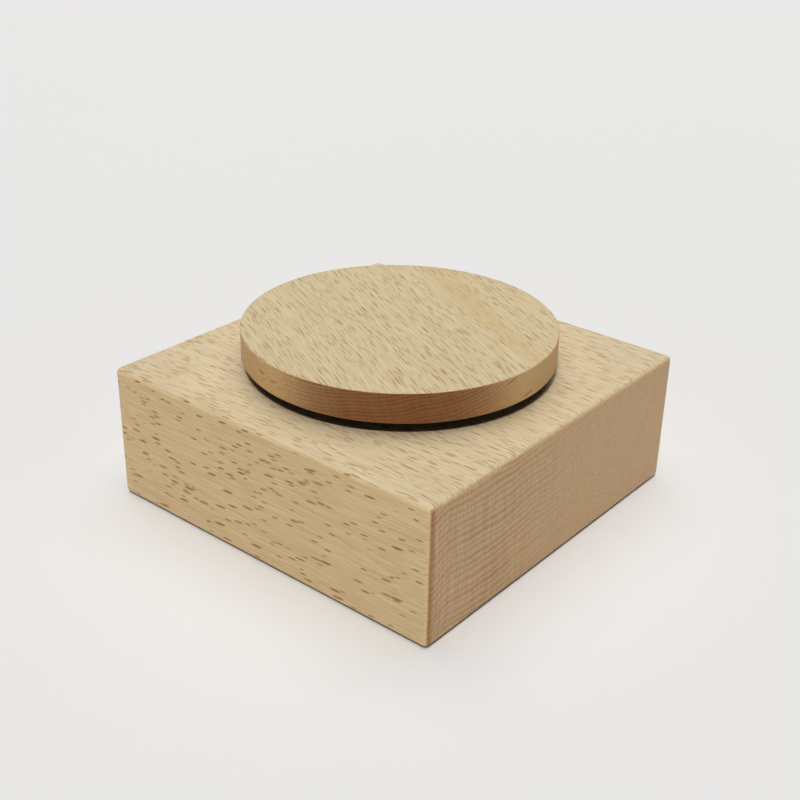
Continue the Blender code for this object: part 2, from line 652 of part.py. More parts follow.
def mainspring():
    """A steel ribbon, coiled outwards counter-clockwise so that winding draws it in."""
    start = SPRING_CORE + GAP + SPRING_THICKNESS / 2
    end = DRUM_RADIUS - DRUM_WALL - GAP - SPRING_THICKNESS / 2
    steps = round(SPRING_TURNS * 16)
    bm = bmesh.new()
    line = []
    for index in range(steps + 1):
        radius = start + (end - start) * index / steps
        angle = 2 * math.pi * SPRING_TURNS * index / steps
        line.append(bm.verts.new((radius * math.cos(angle), radius * math.sin(angle), SPRING_BOTTOM)))
    edges = [bm.edges.new(pair) for pair in zip(line, line[1:])]
    grown = bmesh.ops.extrude_edge_only(bm, edges=edges)["geom"]
    moved = [item for item in grown if isinstance(item, bmesh.types.BMVert)]
    bmesh.ops.translate(bm, verts=moved, vec=(0, 0, SPRING_TOP - SPRING_BOTTOM))
    spring = piece("mainspring", bm, SPRING_STEEL)
    ribbon = spring.modifiers.new("ribbon", "SOLIDIFY")
    ribbon.thickness = SPRING_THICKNESS
    ribbon.offset = 0
    gap = (end - start) / SPRING_TURNS - SPRING_THICKNESS
    print(f"mainspring: {SPRING_TURNS} turns, {gap / MM:.2f} mm apart")


def drive_wheel():
    """The crown wheel that the click drives, with its teeth facing the cylinder's pinion."""
    axis = pivot("drive_wheel_axis")
    bore = ARBOR_RADIUS + RUNNING_GAP
    top = CROWN_UNDER + CROWN_THICKNESS
    profile = [(bore, FEET_TOP), (WHEEL_HUB, FEET_TOP), (WHEEL_HUB, top), (CROWN_RIM, top),
               (CROWN_RIM, CROWN_UNDER), (bore, CROWN_UNDER)]
    wheel = piece("drive_wheel", turned(profile, CROWN_TEETH), BRASS, axis)

    flank = tooth_shape(CROWN_MODULE, math.pi * TOOTH_SHARE * CROWN_MEAN / CROWN_TEETH)
    left = [(-half, CROWN_PITCH_Z - rise) for rise, half in flank]
    right = [(half, CROWN_PITCH_Z - rise) for rise, half in reversed(flank)]
    root = flank[0][1]
    sunk = [(root, CROWN_UNDER + GAP / 3), (-root, CROWN_UNDER + GAP / 3)]
    teeth = slab(left + right + sunk, CROWN_INNER, CROWN_OUTER, along="X")
    copied = teeth.verts[:] + teeth.edges[:] + teeth.faces[:]
    bmesh.ops.spin(teeth, geom=copied, cent=(0, 0, 0), axis=(0, 0, 1), use_duplicate=True,
                   angle=2 * math.pi * (CROWN_TEETH - 1) / CROWN_TEETH, steps=CROWN_TEETH - 1)
    join(wheel, teeth)
    click(axis)


def click(axis):
    """The pawl on the crown wheel, whose nose drops between the ratchet's teeth."""
    nose, tail = RATCHET_RADIUS + RUNNING_GAP, CROWN_INNER - GAP
    high, half = CROWN_UNDER - GAP, CLICK_WIDTH / 2
    outline = [(nose, 0), (tail - CLICK_TAPER, -half), (tail, -half / 2), (tail, half / 2),
               (tail - CLICK_TAPER, half)]
    pawl = slab(outline, high - RATCHET_THICKNESS, high)
    bmesh.ops.rotate(pawl, verts=pawl.verts, matrix=Matrix.Rotation(math.radians(CLICK_ANGLE), 3, "Z"))
    piece("click", pawl, STEEL, axis)


# The cylinder and the comb

def pinned(track, place):
    """Whether a track of the tune has a pin at a place round the cylinder."""
    return (7 * track + 5 * place) % 11 == 0 or (track + place) % CYLINDER_STEPS == 3


def music_cylinder(axis):
    """The brass tube: a grid of one cell for each note and place, with pins raised on some."""
    bm = bmesh.new()
    rings = []
    for row in range(NOTES + 1):
        spot = Matrix.Translation((CYLINDER_X + row * NOTE_PITCH, 0, 0))
        turn = Matrix.Rotation(math.pi / 2, 4, "Y")
        rings.append(bmesh.ops.create_circle(bm, segments=CYLINDER_STEPS, radius=CYLINDER_RADIUS,
                                             matrix=spot @ turn)["verts"])
    pins = []
    for track in range(NOTES):
        for place in range(CYLINDER_STEPS):
            after = (place + 1) % CYLINDER_STEPS
            cell = bm.faces.new((rings[track][place], rings[track + 1][place],
                                 rings[track + 1][after], rings[track][after]))
            if pinned(track, place):
                pins.append(cell)
    ends = [edge for edge in bm.edges if edge.is_boundary]
    bmesh.ops.holes_fill(bm, edges=ends, sides=0)
    bmesh.ops.recalc_face_normals(bm, faces=bm.faces)
    bmesh.ops.inset_individual(bm, faces=pins, thickness=PIN_MARGIN, use_even_offset=True)
    for face in bmesh.ops.extrude_discrete_faces(bm, faces=pins)["faces"]:
        bmesh.ops.translate(bm, verts=face.verts, vec=face.normal * PIN_HEIGHT)
    tube = piece("music_cylinder", bm, BRASS, axis)
    cut(tube, through([(0, 0)], CYLINDER_RADIUS - CYLINDER_WALL, CYLINDER_X, CYLINDER_END, 24, "X"))
    print(f"music_cylinder: {len(pins)} pins on {NOTES} tracks")


def cylinder_caps(axis):
    """The two brass discs that centre the tube on its arbor."""
    bore, edge = CYLINDER_ARBOR + RUNNING_GAP, CYLINDER_RADIUS - CYLINDER_WALL - GAP
    for side, low in (("left", CYLINDER_X), ("right", CYLINDER_END - CAP_THICKNESS)):
        cap = ring(bore, edge, low, low + CAP_THICKNESS, 24, "X")
        piece(f"cylinder_cap_{side}", cap, BRASS, axis)


def cylinder_gears(axis):
    """The arbor, the pinion under the crown wheel, and the wheel that drives the governor."""
    end = TRAIN_X + CYLINDER_WHEEL_FACE
    piece("cylinder_arbor", rods([(0, 0)], CYLINDER_ARBOR, CROWN_INNER, end + TOOTH_GAP, 16, "X"),
          STEEL, axis)
    bore = CYLINDER_ARBOR + RUNNING_GAP
    gap_up = math.pi / 2 + math.pi / PINION_TEETH
    pinion = piece("cylinder_pinion", gear(PINION_TEETH, CROWN_MODULE, CROWN_INNER, CROWN_OUTER, gap_up),
                   BRASS, axis)
    cut(pinion, through([(0, 0)], bore, CROWN_INNER, CROWN_OUTER, 16, "X"))
    teeth = gear(CYLINDER_WHEEL_TEETH, CYLINDER_WHEEL_MODULE, TRAIN_X, end, math.radians(FIRST_ANGLE))
    wheel = piece("cylinder_wheel", teeth, BRASS, axis)
    cut(wheel, through([(0, 0)], bore, TRAIN_X, end, 16, "X"))


def cylinder():
    """Everything that turns with the cylinder, on one axis."""
    axis = pivot("cylinder_axis", (0, *CYLINDER_AT))
    music_cylinder(axis)
    cylinder_caps(axis)
    cylinder_gears(axis)


def comb():
    """Eighteen teeth cut in one steel plate, longest at the low notes, and its screws."""
    last = NOTES - 1
    roots = [COMB_TIP - LONG_TOOTH + (LONG_TOOTH - SHORT_TOOTH) * note / last for note in range(NOTES)]
    outline = [(CYLINDER_X, COMB_FRONT), (CYLINDER_END, COMB_FRONT), (CYLINDER_END, roots[last])]
    for note in reversed(range(NOTES)):
        left = CYLINDER_X + note * NOTE_PITCH + COMB_SLOT / 2
        right = left + NOTE_PITCH - COMB_SLOT
        outline += [(right, roots[note]), (right, COMB_TIP), (left, COMB_TIP), (left, roots[note])]
    outline.append((CYLINDER_X, roots[0]))
    low, high = AXIS_Z - COMB_THICKNESS / 2, AXIS_Z + COMB_THICKNESS / 2
    plate = piece("comb", slab(outline, low, high), STEEL)
    cut(plate, through(COMB_PLACES, COMB_SCREW[2] + GAP, low, high))
    screws("comb_screw", COMB_SCREW, COMB_PLACES, low - RUNNING_GAP, BRASS)


# The bedplate and the bearings

def bedplate():
    """The cast plate that carries the movement, with the bed that the comb is screwed to."""
    outline = rounded_outline(PLATE_LEFT, PLATE_RIGHT, PLATE_FRONT, PLATE_BACK, PLATE_CORNER, 3)
    plate = piece("bedplate", slab(outline, PLATE_UNDER, PLATE_TOP), ZINC)
    bed = box_outline(CYLINDER_X, CYLINDER_END, COMB_FRONT, COMB_FRONT + COMB_BED_DEPTH)
    comb_top = AXIS_Z + COMB_THICKNESS / 2
    join(plate, slab(bed, comb_top + GAP, PLATE_TOP - GAP))
    cut(plate, through([(0, 0)], ARBOR_RADIUS + RUNNING_GAP, PLATE_UNDER, PLATE_TOP, 20))
    cut(plate, through(MOUNT_PLACES, MOUNT_SCREW[2] + GAP, PLATE_UNDER, PLATE_TOP))
    small = drum_places() + FRAME_PLACES + [POST_PLACE]
    cut(plate, through(small, SMALL_SCREW[2] + RUNNING_GAP, PLATE_UNDER, PLATE_TOP))
    cut(plate, rods(COMB_PLACES, COMB_SCREW[2] + GAP, AXIS_Z, comb_top + COMB_SCREW[3]))
    screws("mounting_screw", MOUNT_SCREW, MOUNT_PLACES, MOUNT_SEAT, STEEL, flip=False)


def bearing_post():
    """The post that carries the cylinder's arbor beside the pinion, and its flat screw."""
    half, low = CHEEK_EDGE, FEET_TOP - FRAME_FLANGE
    foot_end = POST_PLACE[0] + SMALL_SCREW[0] + GAP
    foot = box_outline(POST_X, foot_end, -half, half)
    post = piece("bearing_post", slab(foot, low, FEET_TOP), BRASS)
    arc = [(AXIS_Z + half * math.sin(a), half * math.cos(a))
           for a in (math.radians(180 + 30 * index) for index in range(7))]
    outline = [(y, z) for z, y in arc] + [(half, FEET_TOP - GAP), (-half, FEET_TOP - GAP)]
    join(post, slab(outline, POST_X + GAP / 3, POST_X + POST_THICKNESS, along="X"))
    cut(post, through([CYLINDER_AT], CYLINDER_ARBOR + RUNNING_GAP, POST_X, POST_X + POST_THICKNESS, 16, "X"))
    cut(post, through([POST_PLACE], SMALL_SCREW[2] + RUNNING_GAP, low, FEET_TOP))
    head, rise, shank, length = SMALL_SCREW
    screws("post_screw", (head, rise / 2, shank, length), [POST_PLACE], low - RUNNING_GAP, STEEL)


# The governor

def governor_frame():
    """Two cheeks bent from a flange, with an arm that carries the worm's lower end."""
    under = FEET_TOP - FRAME_FLANGE
    low = SECOND_AT[1] - CHEEK_EDGE
    back = SECOND_AT[0] + CHEEK_EDGE
    near = FIRST_AT[0] - CHEEK_EDGE
    leg = WORM_Y - FAN_RADIUS - 2 * GAP
    flange = box_outline(INNER_CHEEK_X, FLANGE_RIGHT, -CHEEK_EDGE, FRAME_BACK)
    frame = piece("governor_frame", slab(flange, under, FEET_TOP), STEEL)
    inner = [(-CHEEK_EDGE + GAP, FEET_TOP - GAP), (-CHEEK_EDGE + GAP, AXIS_Z - CHEEK_EDGE),
             (FIRST_AT[0], low), (back, low), (back, FEET_TOP - GAP)]
    join(frame, slab(inner, INNER_CHEEK_X + GAP / 3, INNER_CHEEK_X + CHEEK, along="X"))
    outer = [(near, FEET_TOP - GAP), (near, ARM_UNDER + GAP), (leg, ARM_UNDER + GAP), (leg, low),
             (back, low), (back, FEET_TOP - GAP)]
    join(frame, slab(outer, OUTER_CHEEK_X, FRAME_RIGHT - GAP / 3, along="X"))
    arm = box_outline(WORM_X - CHEEK_EDGE, FRAME_RIGHT, near + GAP / 3, FRAME_BACK)
    join(frame, slab(arm, ARM_UNDER, ARM_TOP))

    cut(frame, through([CYLINDER_AT], CYLINDER_ARBOR + RUNNING_GAP, INNER_CHEEK_X,
                       INNER_CHEEK_X + CHEEK, 16, "X"))
    cut(frame, through([FIRST_AT, SECOND_AT], TRAIN_ARBOR + RUNNING_GAP, INNER_CHEEK_X, FRAME_RIGHT,
                       along="X"))
    cut(frame, through([(WORM_X, WORM_Y)], WORM_SHAFT + RUNNING_GAP, ARM_UNDER, FEET_TOP))
    cut(frame, through(FRAME_PLACES, SMALL_SCREW[2] + RUNNING_GAP, under, FEET_TOP))
    cut(frame, through([END_PLACE], SHORT_SCREW[2] + RUNNING_GAP, ARM_UNDER, ARM_TOP))
    screws("frame_screw", SMALL_SCREW, FRAME_PLACES, under - RUNNING_GAP, BRASS)


def worm_end_plate():
    """The small plate that the worm's lower end bears on, and its screw."""
    high = ARM_UNDER - RUNNING_GAP
    low = high - END_PLATE
    outline = box_outline(WORM_X - CHEEK_EDGE + GAP, OUTER_CHEEK_X + GAP,
                          END_PLACE[1] - SHORT_SCREW[0] - GAP, FRAME_BACK - GAP)
    plate = piece("worm_end_plate", slab(outline, low, high), BRASS)
    cut(plate, through([END_PLACE], SHORT_SCREW[2] + RUNNING_GAP, low, high))
    screws("end_plate_screw", SHORT_SCREW, [END_PLACE], low - RUNNING_GAP, STEEL)


def pinion_on_arbor(name, module, low, high, lead, axis):
    """An eight-leaf pinion cut on its own arbor, which runs from cheek to cheek."""
    pinion = piece(name, gear(LEAVES, module, low, high, lead + math.pi / LEAVES), STEEL, axis)
    join(pinion, rods([(0, 0)], TRAIN_ARBOR, INNER_CHEEK_X, FRAME_RIGHT, along="X"))


def wheel_on_arbor(name, teeth, low, high, lead, axis):
    """A fine-toothed brass wheel, bored for the arbor that it is driven onto."""
    wheel = piece(name, gear(teeth, FINE_MODULE, low, high, lead), BRASS, axis)
    cut(wheel, through([(0, 0)], TRAIN_ARBOR + RUNNING_GAP, low, high, along="X"))


def gear_train():
    """The two arbors between the cylinder and the worm, each with a pinion and a wheel."""
    wheel_end = FIRST_WHEEL_X + FIRST_WHEEL_FACE
    to_cylinder = math.radians(FIRST_ANGLE + 180)
    to_first = math.radians(SECOND_ANGLE + 180)
    axis = pivot("first_arbor_axis", (0, *FIRST_AT))
    pinion_on_arbor("first_pinion", CYLINDER_WHEEL_MODULE, TRAIN_X, FIRST_WHEEL_X - GAP, to_cylinder, axis)
    wheel_on_arbor("first_wheel", FIRST_WHEEL_TEETH, FIRST_WHEEL_X, wheel_end,
                   math.radians(SECOND_ANGLE), axis)
    axis = pivot("second_arbor_axis", (0, *SECOND_AT))
    pinion_on_arbor("second_pinion", FINE_MODULE, FIRST_WHEEL_X - GAP / 3, wheel_end + GAP, to_first, axis)
    wheel_on_arbor("worm_wheel", WORM_WHEEL_TEETH, TRAIN_X, TRAIN_X + WORM_WHEEL_FACE, 0.0, axis)


def worm(axis):
    """The upright worm: a waisted shaft with one right-handed thread wound round it."""
    flank = tooth_shape(FINE_MODULE, WORM_LEAD * TOOTH_SHARE / 2)
    root = WORM_PITCH_RADIUS + flank[0][0]
    low, high = SECOND_AT[1] - WORM_HALF, SECOND_AT[1] + WORM_HALF
    profile = [(0, FEET_TOP - GAP), (WORM_SHAFT, FEET_TOP - GAP), (WORM_SHAFT, high + GAP), (root, high),
               (root, low), (WORM_SHAFT, low - GAP), (WORM_SHAFT, ARM_UNDER), (0, ARM_UNDER)]
    shaft = piece("worm", turned(profile, 12), STEEL, axis)
    turns = WORM_TURNS - 1
    start = SECOND_AT[1] - WORM_LEAD * turns / 2
    section = [(WORM_PITCH_RADIUS + rise, -half) for rise, half in flank]
    section += [(WORM_PITCH_RADIUS + rise, half) for rise, half in reversed(flank)]
    section = [(root - GAP / 3, -flank[0][1]), *section[1:-1], (root - GAP / 3, flank[0][1])]
    thread = bmesh.new()
    face = thread.faces.new([thread.verts.new((0, -radius, start + height)) for radius, height in section])
    bmesh.ops.spin(thread, geom=[face, *face.verts, *face.edges], cent=(0, 0, 0), axis=(0, 0, 1),
                   angle=2 * math.pi * turns, steps=12 * turns, dvec=(0, 0, WORM_LEAD / 12))
    join(shaft, closed(thread))


def fan(axis):
    """The two-blade air brake on the worm's shaft."""
    hub = ring(WORM_SHAFT + RUNNING_GAP, FAN_HUB, FAN_BOTTOM, FAN_TOP, 12)
    brake = piece("fan", hub, NYLON, axis)
    for side in (-1, 1):
        near, far = sorted((side * (FAN_HUB - GAP / 2), side * FAN_RADIUS))
        outline = box_outline(near, far, -FAN_THICKNESS / 2, FAN_THICKNESS / 2)
        join(brake, slab(outline, FAN_BOTTOM + GAP, FAN_TOP - GAP))


def governor():
    """The frame, the gears in it, and the worm with its fan."""
    governor_frame()
    worm_end_plate()
    gear_train()
    axis = pivot("fan_axis", (WORM_X, WORM_Y, 0))
    worm(axis)
    fan(axis)


case_body()
bottom_board()
foot_pads()
arbor_bush()
thrust_washer()
bedplate()
spring_drum()
mainspring()
comb()
bearing_post()
turntable()
drive_wheel()
cylinder()
governor()
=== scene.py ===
# %% [markdown]
# # A beech music box that is wound by its top
#
# A square block of beech holds a comb movement, and a round beech disc on top winds it.
# The measured model is loaded first, as a fixed frame: it gives each piece's place and size
# in metres. This script adds what the eye sees: the turned and rounded wood, its grain, the
# metals inside, a pale table, soft light and a camera. Lengths below are written in
# millimetres times MM.

import math
from types import SimpleNamespace

import bmesh
import bpy
from mathutils import Matrix, Vector


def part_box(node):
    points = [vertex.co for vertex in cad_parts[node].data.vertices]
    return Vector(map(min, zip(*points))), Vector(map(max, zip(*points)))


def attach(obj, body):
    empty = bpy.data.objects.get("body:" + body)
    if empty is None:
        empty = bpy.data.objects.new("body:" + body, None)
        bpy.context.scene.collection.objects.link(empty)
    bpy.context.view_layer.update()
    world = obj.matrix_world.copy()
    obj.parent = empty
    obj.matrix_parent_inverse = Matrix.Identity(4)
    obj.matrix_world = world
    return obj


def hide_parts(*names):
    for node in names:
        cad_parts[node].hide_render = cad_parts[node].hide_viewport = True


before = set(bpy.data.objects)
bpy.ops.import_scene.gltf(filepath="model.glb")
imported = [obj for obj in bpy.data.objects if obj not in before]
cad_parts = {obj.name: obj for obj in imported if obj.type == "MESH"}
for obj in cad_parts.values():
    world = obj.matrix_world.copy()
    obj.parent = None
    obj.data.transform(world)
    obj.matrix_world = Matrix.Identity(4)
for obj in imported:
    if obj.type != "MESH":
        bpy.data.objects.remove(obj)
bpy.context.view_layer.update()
MM = 0.001

# %% [markdown]
# ## Camera
#
# A camera can be placed by eye or worked out. Here it was worked out: the corners of the
# block and the rim of the disc were compared with where a camera would see them, until they
# agreed. The result is a direction, a distance, a small roll, and a focal length. Blender
# turns a camera by a matrix whose columns are its right, up and back directions.

# %% Place the camera
AZIMUTH = math.radians(39.22)       # round from the front face towards the right one
ELEVATION = math.radians(27.06)
ROLL = math.radians(1.216)
AIM = Vector((-31.49, 39.25, -0.82)) * MM
DISTANCE = 380.9 * MM
NEAREST = 10 * MM                   # anything nearer to the camera isn't drawn
FOCAL_PIXELS = 1265.5               # in an image as wide as the next value
IMAGE_WIDTH = 800
SENSOR_WIDTH = 36                   # Blender counts sensor and lens in mm

data = bpy.data.cameras.new("camera")
data.sensor_width = SENSOR_WIDTH
data.lens = SENSOR_WIDTH * FOCAL_PIXELS / IMAGE_WIDTH
data.clip_start = NEAREST
camera = bpy.data.objects.new("camera", data)
bpy.context.collection.objects.link(camera)
bpy.context.scene.camera = camera

back = Vector((math.sin(AZIMUTH) * math.cos(ELEVATION),
               -math.cos(AZIMUTH) * math.cos(ELEVATION), math.sin(ELEVATION)))
sideways = Vector((math.cos(AZIMUTH), math.sin(AZIMUTH), 0))
upright = back.cross(sideways)
right = math.cos(ROLL) * sideways + math.sin(ROLL) * upright
up = back.cross(right)
turn = Matrix((right, up, back)).transposed().to_4x4()
camera.matrix_world = Matrix.Translation(AIM + back * DISTANCE) @ turn
print(f"camera: {data.lens:.1f} mm lens, {DISTANCE / MM:.0f} mm away")

# %% [markdown]
# ## Colours and nodes
#
# A colour picked from a screen is in sRGB, but a shader works with linear light, so one
# function converts a hex value. A material is a tree of nodes. One small function adds a
# node, gives it its settings, and fills its inputs: a socket is linked, and anything else
# becomes the input's value. Every finish below is made with these.

# %% Helpers for colours and nodes
def linear(code):
    """An sRGB hex value as linear red, green, blue and alpha."""
    shares = [int(code[i:i + 2], 16) / 255 for i in (1, 3, 5)]
    bent = [c / 12.92 if c <= 0.04045 else ((c + 0.055) / 1.055) ** 2.4 for c in shares]
    return (*bent, 1.0)


def node(tree, kind, inputs=None, **settings):
    """Adds a node with its settings, and fills its inputs with links or values."""
    made = tree.nodes.new(kind)
    for name, value in settings.items():
        setattr(made, name, value)
    for name, value in (inputs or {}).items():
        socket = made.inputs[name]
        if isinstance(value, bpy.types.NodeSocket):
            tree.links.new(value, socket)
        else:
            socket.default_value = value
    return made


def new_material(name, **values):
    """A material, its tree and its Principled shader, with values set on its own sockets."""
    material = bpy.data.materials.new(name)
    material.use_nodes = True
    shader = material.node_tree.nodes["Principled BSDF"]
    for key, value in values.items():
        shader.inputs[key.replace("_", " ")].default_value = value
    return material, material.node_tree, shader


# %% [markdown]
# ## Sums in a shader
#
# Most of a shader is sums that are worked out at every point drawn: on numbers, on places
# and on colours. Each could be written out as a node every time, but a finish is easier to
# read when each kind has a short function that returns the node's result. A noise gives soft
# random values about a half. Stretched along the grain, its spots turn into streaks.

# %% Helpers for sums in a shader
def maths(tree, operation, *values, **settings):
    """A sum on numbers."""
    return node(tree, "ShaderNodeMath", dict(enumerate(values)), operation=operation,
                **settings).outputs[0]


def vector_maths(tree, operation, *values):
    """A sum on places or directions, which gives another one, or a number."""
    results = node(tree, "ShaderNodeVectorMath", dict(enumerate(values)),
                   operation=operation).outputs
    return results["Value" if operation in ("LENGTH", "DOT_PRODUCT") else "Vector"]


def axes(tree, value):
    """The X, Y and Z of a place or direction."""
    return node(tree, "ShaderNodeSeparateXYZ", {0: value}).outputs


def combined(tree, **parts):
    """A place or direction with some X, Y and Z."""
    return node(tree, "ShaderNodeCombineXYZ", parts).outputs[0]


def rotated(tree, value, degrees):
    """A place or direction, turned about Z."""
    return node(tree, "ShaderNodeVectorRotate",
                {"Vector": value, "Rotation": (0, 0, math.radians(degrees))},
                rotation_type="EULER_XYZ").outputs[0]


def remap(tree, value, start, stop, low=0.0, high=1.0, curve="LINEAR"):
    """Runs from low to high while the value runs from start to stop."""
    ends = {"Value": value, "From Min": start, "From Max": stop, "To Min": low, "To Max": high}
    return node(tree, "ShaderNodeMapRange", ends, interpolation_type=curve).outputs[0]


def blend(tree, factor, first, second):
    """The first colour where the factor is 0, and the second where it is 1."""
    return node(tree, "ShaderNodeMix", {"Factor": factor, "A": first, "B": second},
                data_type="RGBA").outputs["Result"]


def noise(tree, place, detail, scale=1.0, stretch=None):
    """Soft random values at a place, which can be multiplied by a number for each axis."""
    if stretch:
        place = vector_maths(tree, "MULTIPLY", place, stretch)
    return node(tree, "ShaderNodeTexNoise",
                {"Vector": place, "Scale": scale, "Detail": detail}).outputs["Fac"]


NOISE_RANGE = (0.3, 0.7)            # nearly all values of a noise lie between these
SMOOTH_RANGE = (0.38, 0.62)         # and of one with little detail, between these

# %% [markdown]
# ## Table
#
# The box stands on a seamless pale surface in a small studio. The table could be a sheet
# that curves up behind the box, but a view from another side would show its edge. So it is a
# wide flat disc whose colour fades, away from the box, into a glow of the same grey as the
# background, and hardly a horizon shows from any side.

# %% Table
TABLE_GREY = "#E9E8E7"
TABLE_TONES = ("#E8E7E6", "#EAE9E8")
TABLE_RADIUS = 6                    # in metres, and so are the next two
FADE_START = 0.4
FADE_END = 1.8

bpy.context.scene.view_settings.view_transform = "Standard"
bm = bmesh.new()
bmesh.ops.create_circle(bm, cap_ends=True, segments=96, radius=TABLE_RADIUS)
mesh = bpy.data.meshes.new("table")
bm.to_mesh(mesh)
bm.free()
table = bpy.data.objects.new("table", mesh)
bpy.context.collection.objects.link(table)

material, tree, shader = new_material("matt_pale_table", Roughness=0.8, Specular_IOR_Level=0.1)
place = node(tree, "ShaderNodeTexCoord").outputs["Object"]
cloud = noise(tree, place, detail=3.0, scale=3.0)
tint = blend(tree, cloud, linear(TABLE_TONES[0]), linear(TABLE_TONES[1]))
tree.links.new(tint, shader.inputs["Base Color"])
far = vector_maths(tree, "LENGTH", place)
far = remap(tree, far, FADE_START, FADE_END, curve="SMOOTHSTEP")
glow = node(tree, "ShaderNodeEmission", {"Color": linear(TABLE_GREY), "Strength": 1.0})
ground = node(tree, "ShaderNodeMixShader", {0: far, 1: shader.outputs[0], 2: glow.outputs[0]})
tree.links.new(ground.outputs[0], tree.nodes["Material Output"].inputs["Surface"])
mesh.materials.append(material)
print(f"table: {TABLE_RADIUS} m in radius, fading from {FADE_START} to {FADE_END} m")

# %% [markdown]
# ## World
#
# A world of one strong colour would fill the gap under the disc with light from the horizon,
# so the world is kept weak. The camera and shiny metal see it as the table's own grey
# instead: a Light Path node tells which kind of ray asks.

# %% World
SKY_LEVEL = 0.03

world = bpy.data.worlds.new("studio")
world.use_nodes = True
bpy.context.scene.world = world
tree = world.node_tree
tree.nodes.clear()
paths = node(tree, "ShaderNodeLightPath").outputs
seen = maths(tree, "MAXIMUM", paths["Is Camera Ray"], paths["Is Glossy Ray"])
seen = maths(tree, "MAXIMUM", seen, paths["Is Transmission Ray"])
sky = node(tree, "ShaderNodeBackground", {"Color": linear("#FFFFFF"), "Strength": SKY_LEVEL})
grey = node(tree, "ShaderNodeBackground", {"Color": linear(TABLE_GREY), "Strength": 1.0})
mixed = node(tree, "ShaderNodeMixShader", {0: seen, 1: sky.outputs[0], 2: grey.outputs[0]})
node(tree, "ShaderNodeOutputWorld", {"Surface": mixed.outputs[0]})
print(f"{world.name}: {len(tree.nodes)} nodes")

# %% [markdown]
# ## Lamps
#
# Half of the light is a soft box near the camera, 58 degrees up: it draws the crisp edge of
# the shadow under the disc. It could be an area lamp, but a sun with a wide angle gives the
# same soft edge and lights the whole table evenly. The other half is a wide panel overhead,
# whose shadows are so soft that they only darken the table beside the block.

# %% Lamps
KEY_ROUND = math.radians(-60)       # round from the direction of the right face
KEY_HEIGHT = math.radians(58)
KEY_DISTANCE = 5                    # in metres, though a sun is as bright from anywhere
KEY_SPREAD = math.radians(8)
KEY_STRENGTH = 1.74
PANEL_PLACE = (-0.4, 0.65, 4.0)
PANEL_SIDE = 4.3
PANEL_WATTS = 110


def hang(name, data, spot):
    """A lamp at a place in metres that shines at the box."""
    lamp = bpy.data.objects.new(name, data)
    lamp.location = spot
    lamp.rotation_euler = Vector(spot).to_track_quat("Z", "Y").to_euler()
    bpy.context.collection.objects.link(lamp)
    print(f"{name}: energy {data.energy:.2f}")


data = bpy.data.lights.new("front_soft_box", "SUN")
data.angle = KEY_SPREAD
data.energy = KEY_STRENGTH
hang("front_soft_box", data, (KEY_DISTANCE * math.cos(KEY_ROUND) * math.cos(KEY_HEIGHT),
                              KEY_DISTANCE * math.sin(KEY_ROUND) * math.cos(KEY_HEIGHT),
                              KEY_DISTANCE * math.sin(KEY_HEIGHT)))
data = bpy.data.lights.new("overhead_panel", "AREA")
data.size = PANEL_SIDE
data.energy = PANEL_WATTS
hang("overhead_panel", data, PANEL_PLACE)

# %% [markdown]
# ## Beech: a tree to cut it from
#
# Beech is a pale, even wood that is easy to know by its rays: sheets of cells that run out
# from the middle of the tree. Where a face cuts across the sheets they show as short brown
# dashes along the grain, and where it runs nearly level with them, as larger flecks. On the
# sawn end the rings show as fine curved lines and the rays as faint lines across them.
#
# A flat pattern would not agree from face to face. Instead the block is placed in an
# imagined tree: each point gets a length along the trunk, a distance out from the pith, and
# a way round it. Every face, round and edge then cuts the same wood. The grain wanders a
# little, slowly along the trunk, and at the front of the block it can dip.

# %% Place in the tree
WANDER = (0, 5.0, 5.0)              # how far the grain wanders, in mm
WANDER_PACE = (0.012, 0.05, 0.05)   # how fast, in waves to the mm
DIP = 1.8                           # how far it dips at the front, in mm,
DIP_REACH = (-50.0, -42.0)          # between these places in y, in mm


def place_in_tree(tree, turn, pith, dips):
    """Sockets with each point's place in a tree that is turned about Z, in mm."""
    coords = node(tree, "ShaderNodeTexCoord").outputs
    turned = rotated(tree, coords["Object"], -turn)
    scaled = node(tree, "ShaderNodeVectorMath", {0: turned, "Scale": 1 / MM},
                  operation="SCALE").outputs[0]
    centred = vector_maths(tree, "SUBTRACT", scaled, (0, *pith))
    slow = vector_maths(tree, "MULTIPLY", centred, WANDER_PACE)
    drift = node(tree, "ShaderNodeTexNoise", {"Vector": slow, "Scale": 1.0, "Detail": 2.0})
    drift = vector_maths(tree, "SUBTRACT", drift.outputs["Color"], (0.5, 0.5, 0.5))
    drift = vector_maths(tree, "MULTIPLY", drift, WANDER)
    wood = vector_maths(tree, "ADD", centred, drift)
    y = axes(tree, scaled)["Y"]
    if dips:
        dip = remap(tree, y, *DIP_REACH, DIP, 0.0, "SMOOTHERSTEP")
        wood = vector_maths(tree, "ADD", wood, combined(tree, Z=dip))
    parts = axes(tree, wood)
    across = vector_maths(tree, "MULTIPLY", wood, (0, 1, 1))
    out = vector_maths(tree, "LENGTH", across)
    angle = maths(tree, "ARCTAN2", parts["Y"], parts["Z"])
    around = maths(tree, "MULTIPLY", angle, math.hypot(*pith))
    return SimpleNamespace(y=y, centred=centred, slow=slow, wood=wood, along=parts["X"],
                           across=across, out=out, around=around,
                           facing=rotated(tree, coords["Normal"], -turn))


# %% [markdown]
# ## Beech: which way a face was cut
#
# A face that looks along the trunk is sawn end, one that looks out from the pith is the bark
# side, and the rest is radial side. Each kind of face could have a material of its own, but
# the rounds and the disc's rim turn slowly from one kind to the next. So each point gets a
# share of each, from the angle between its surface and the tree.

# %% Kind of face
BARK_RANGE = (0.35, 0.85)           # how squarely a face looks to the bark, from none to all
END_RANGE = (0.66, 1.0)             # and how squarely along the trunk


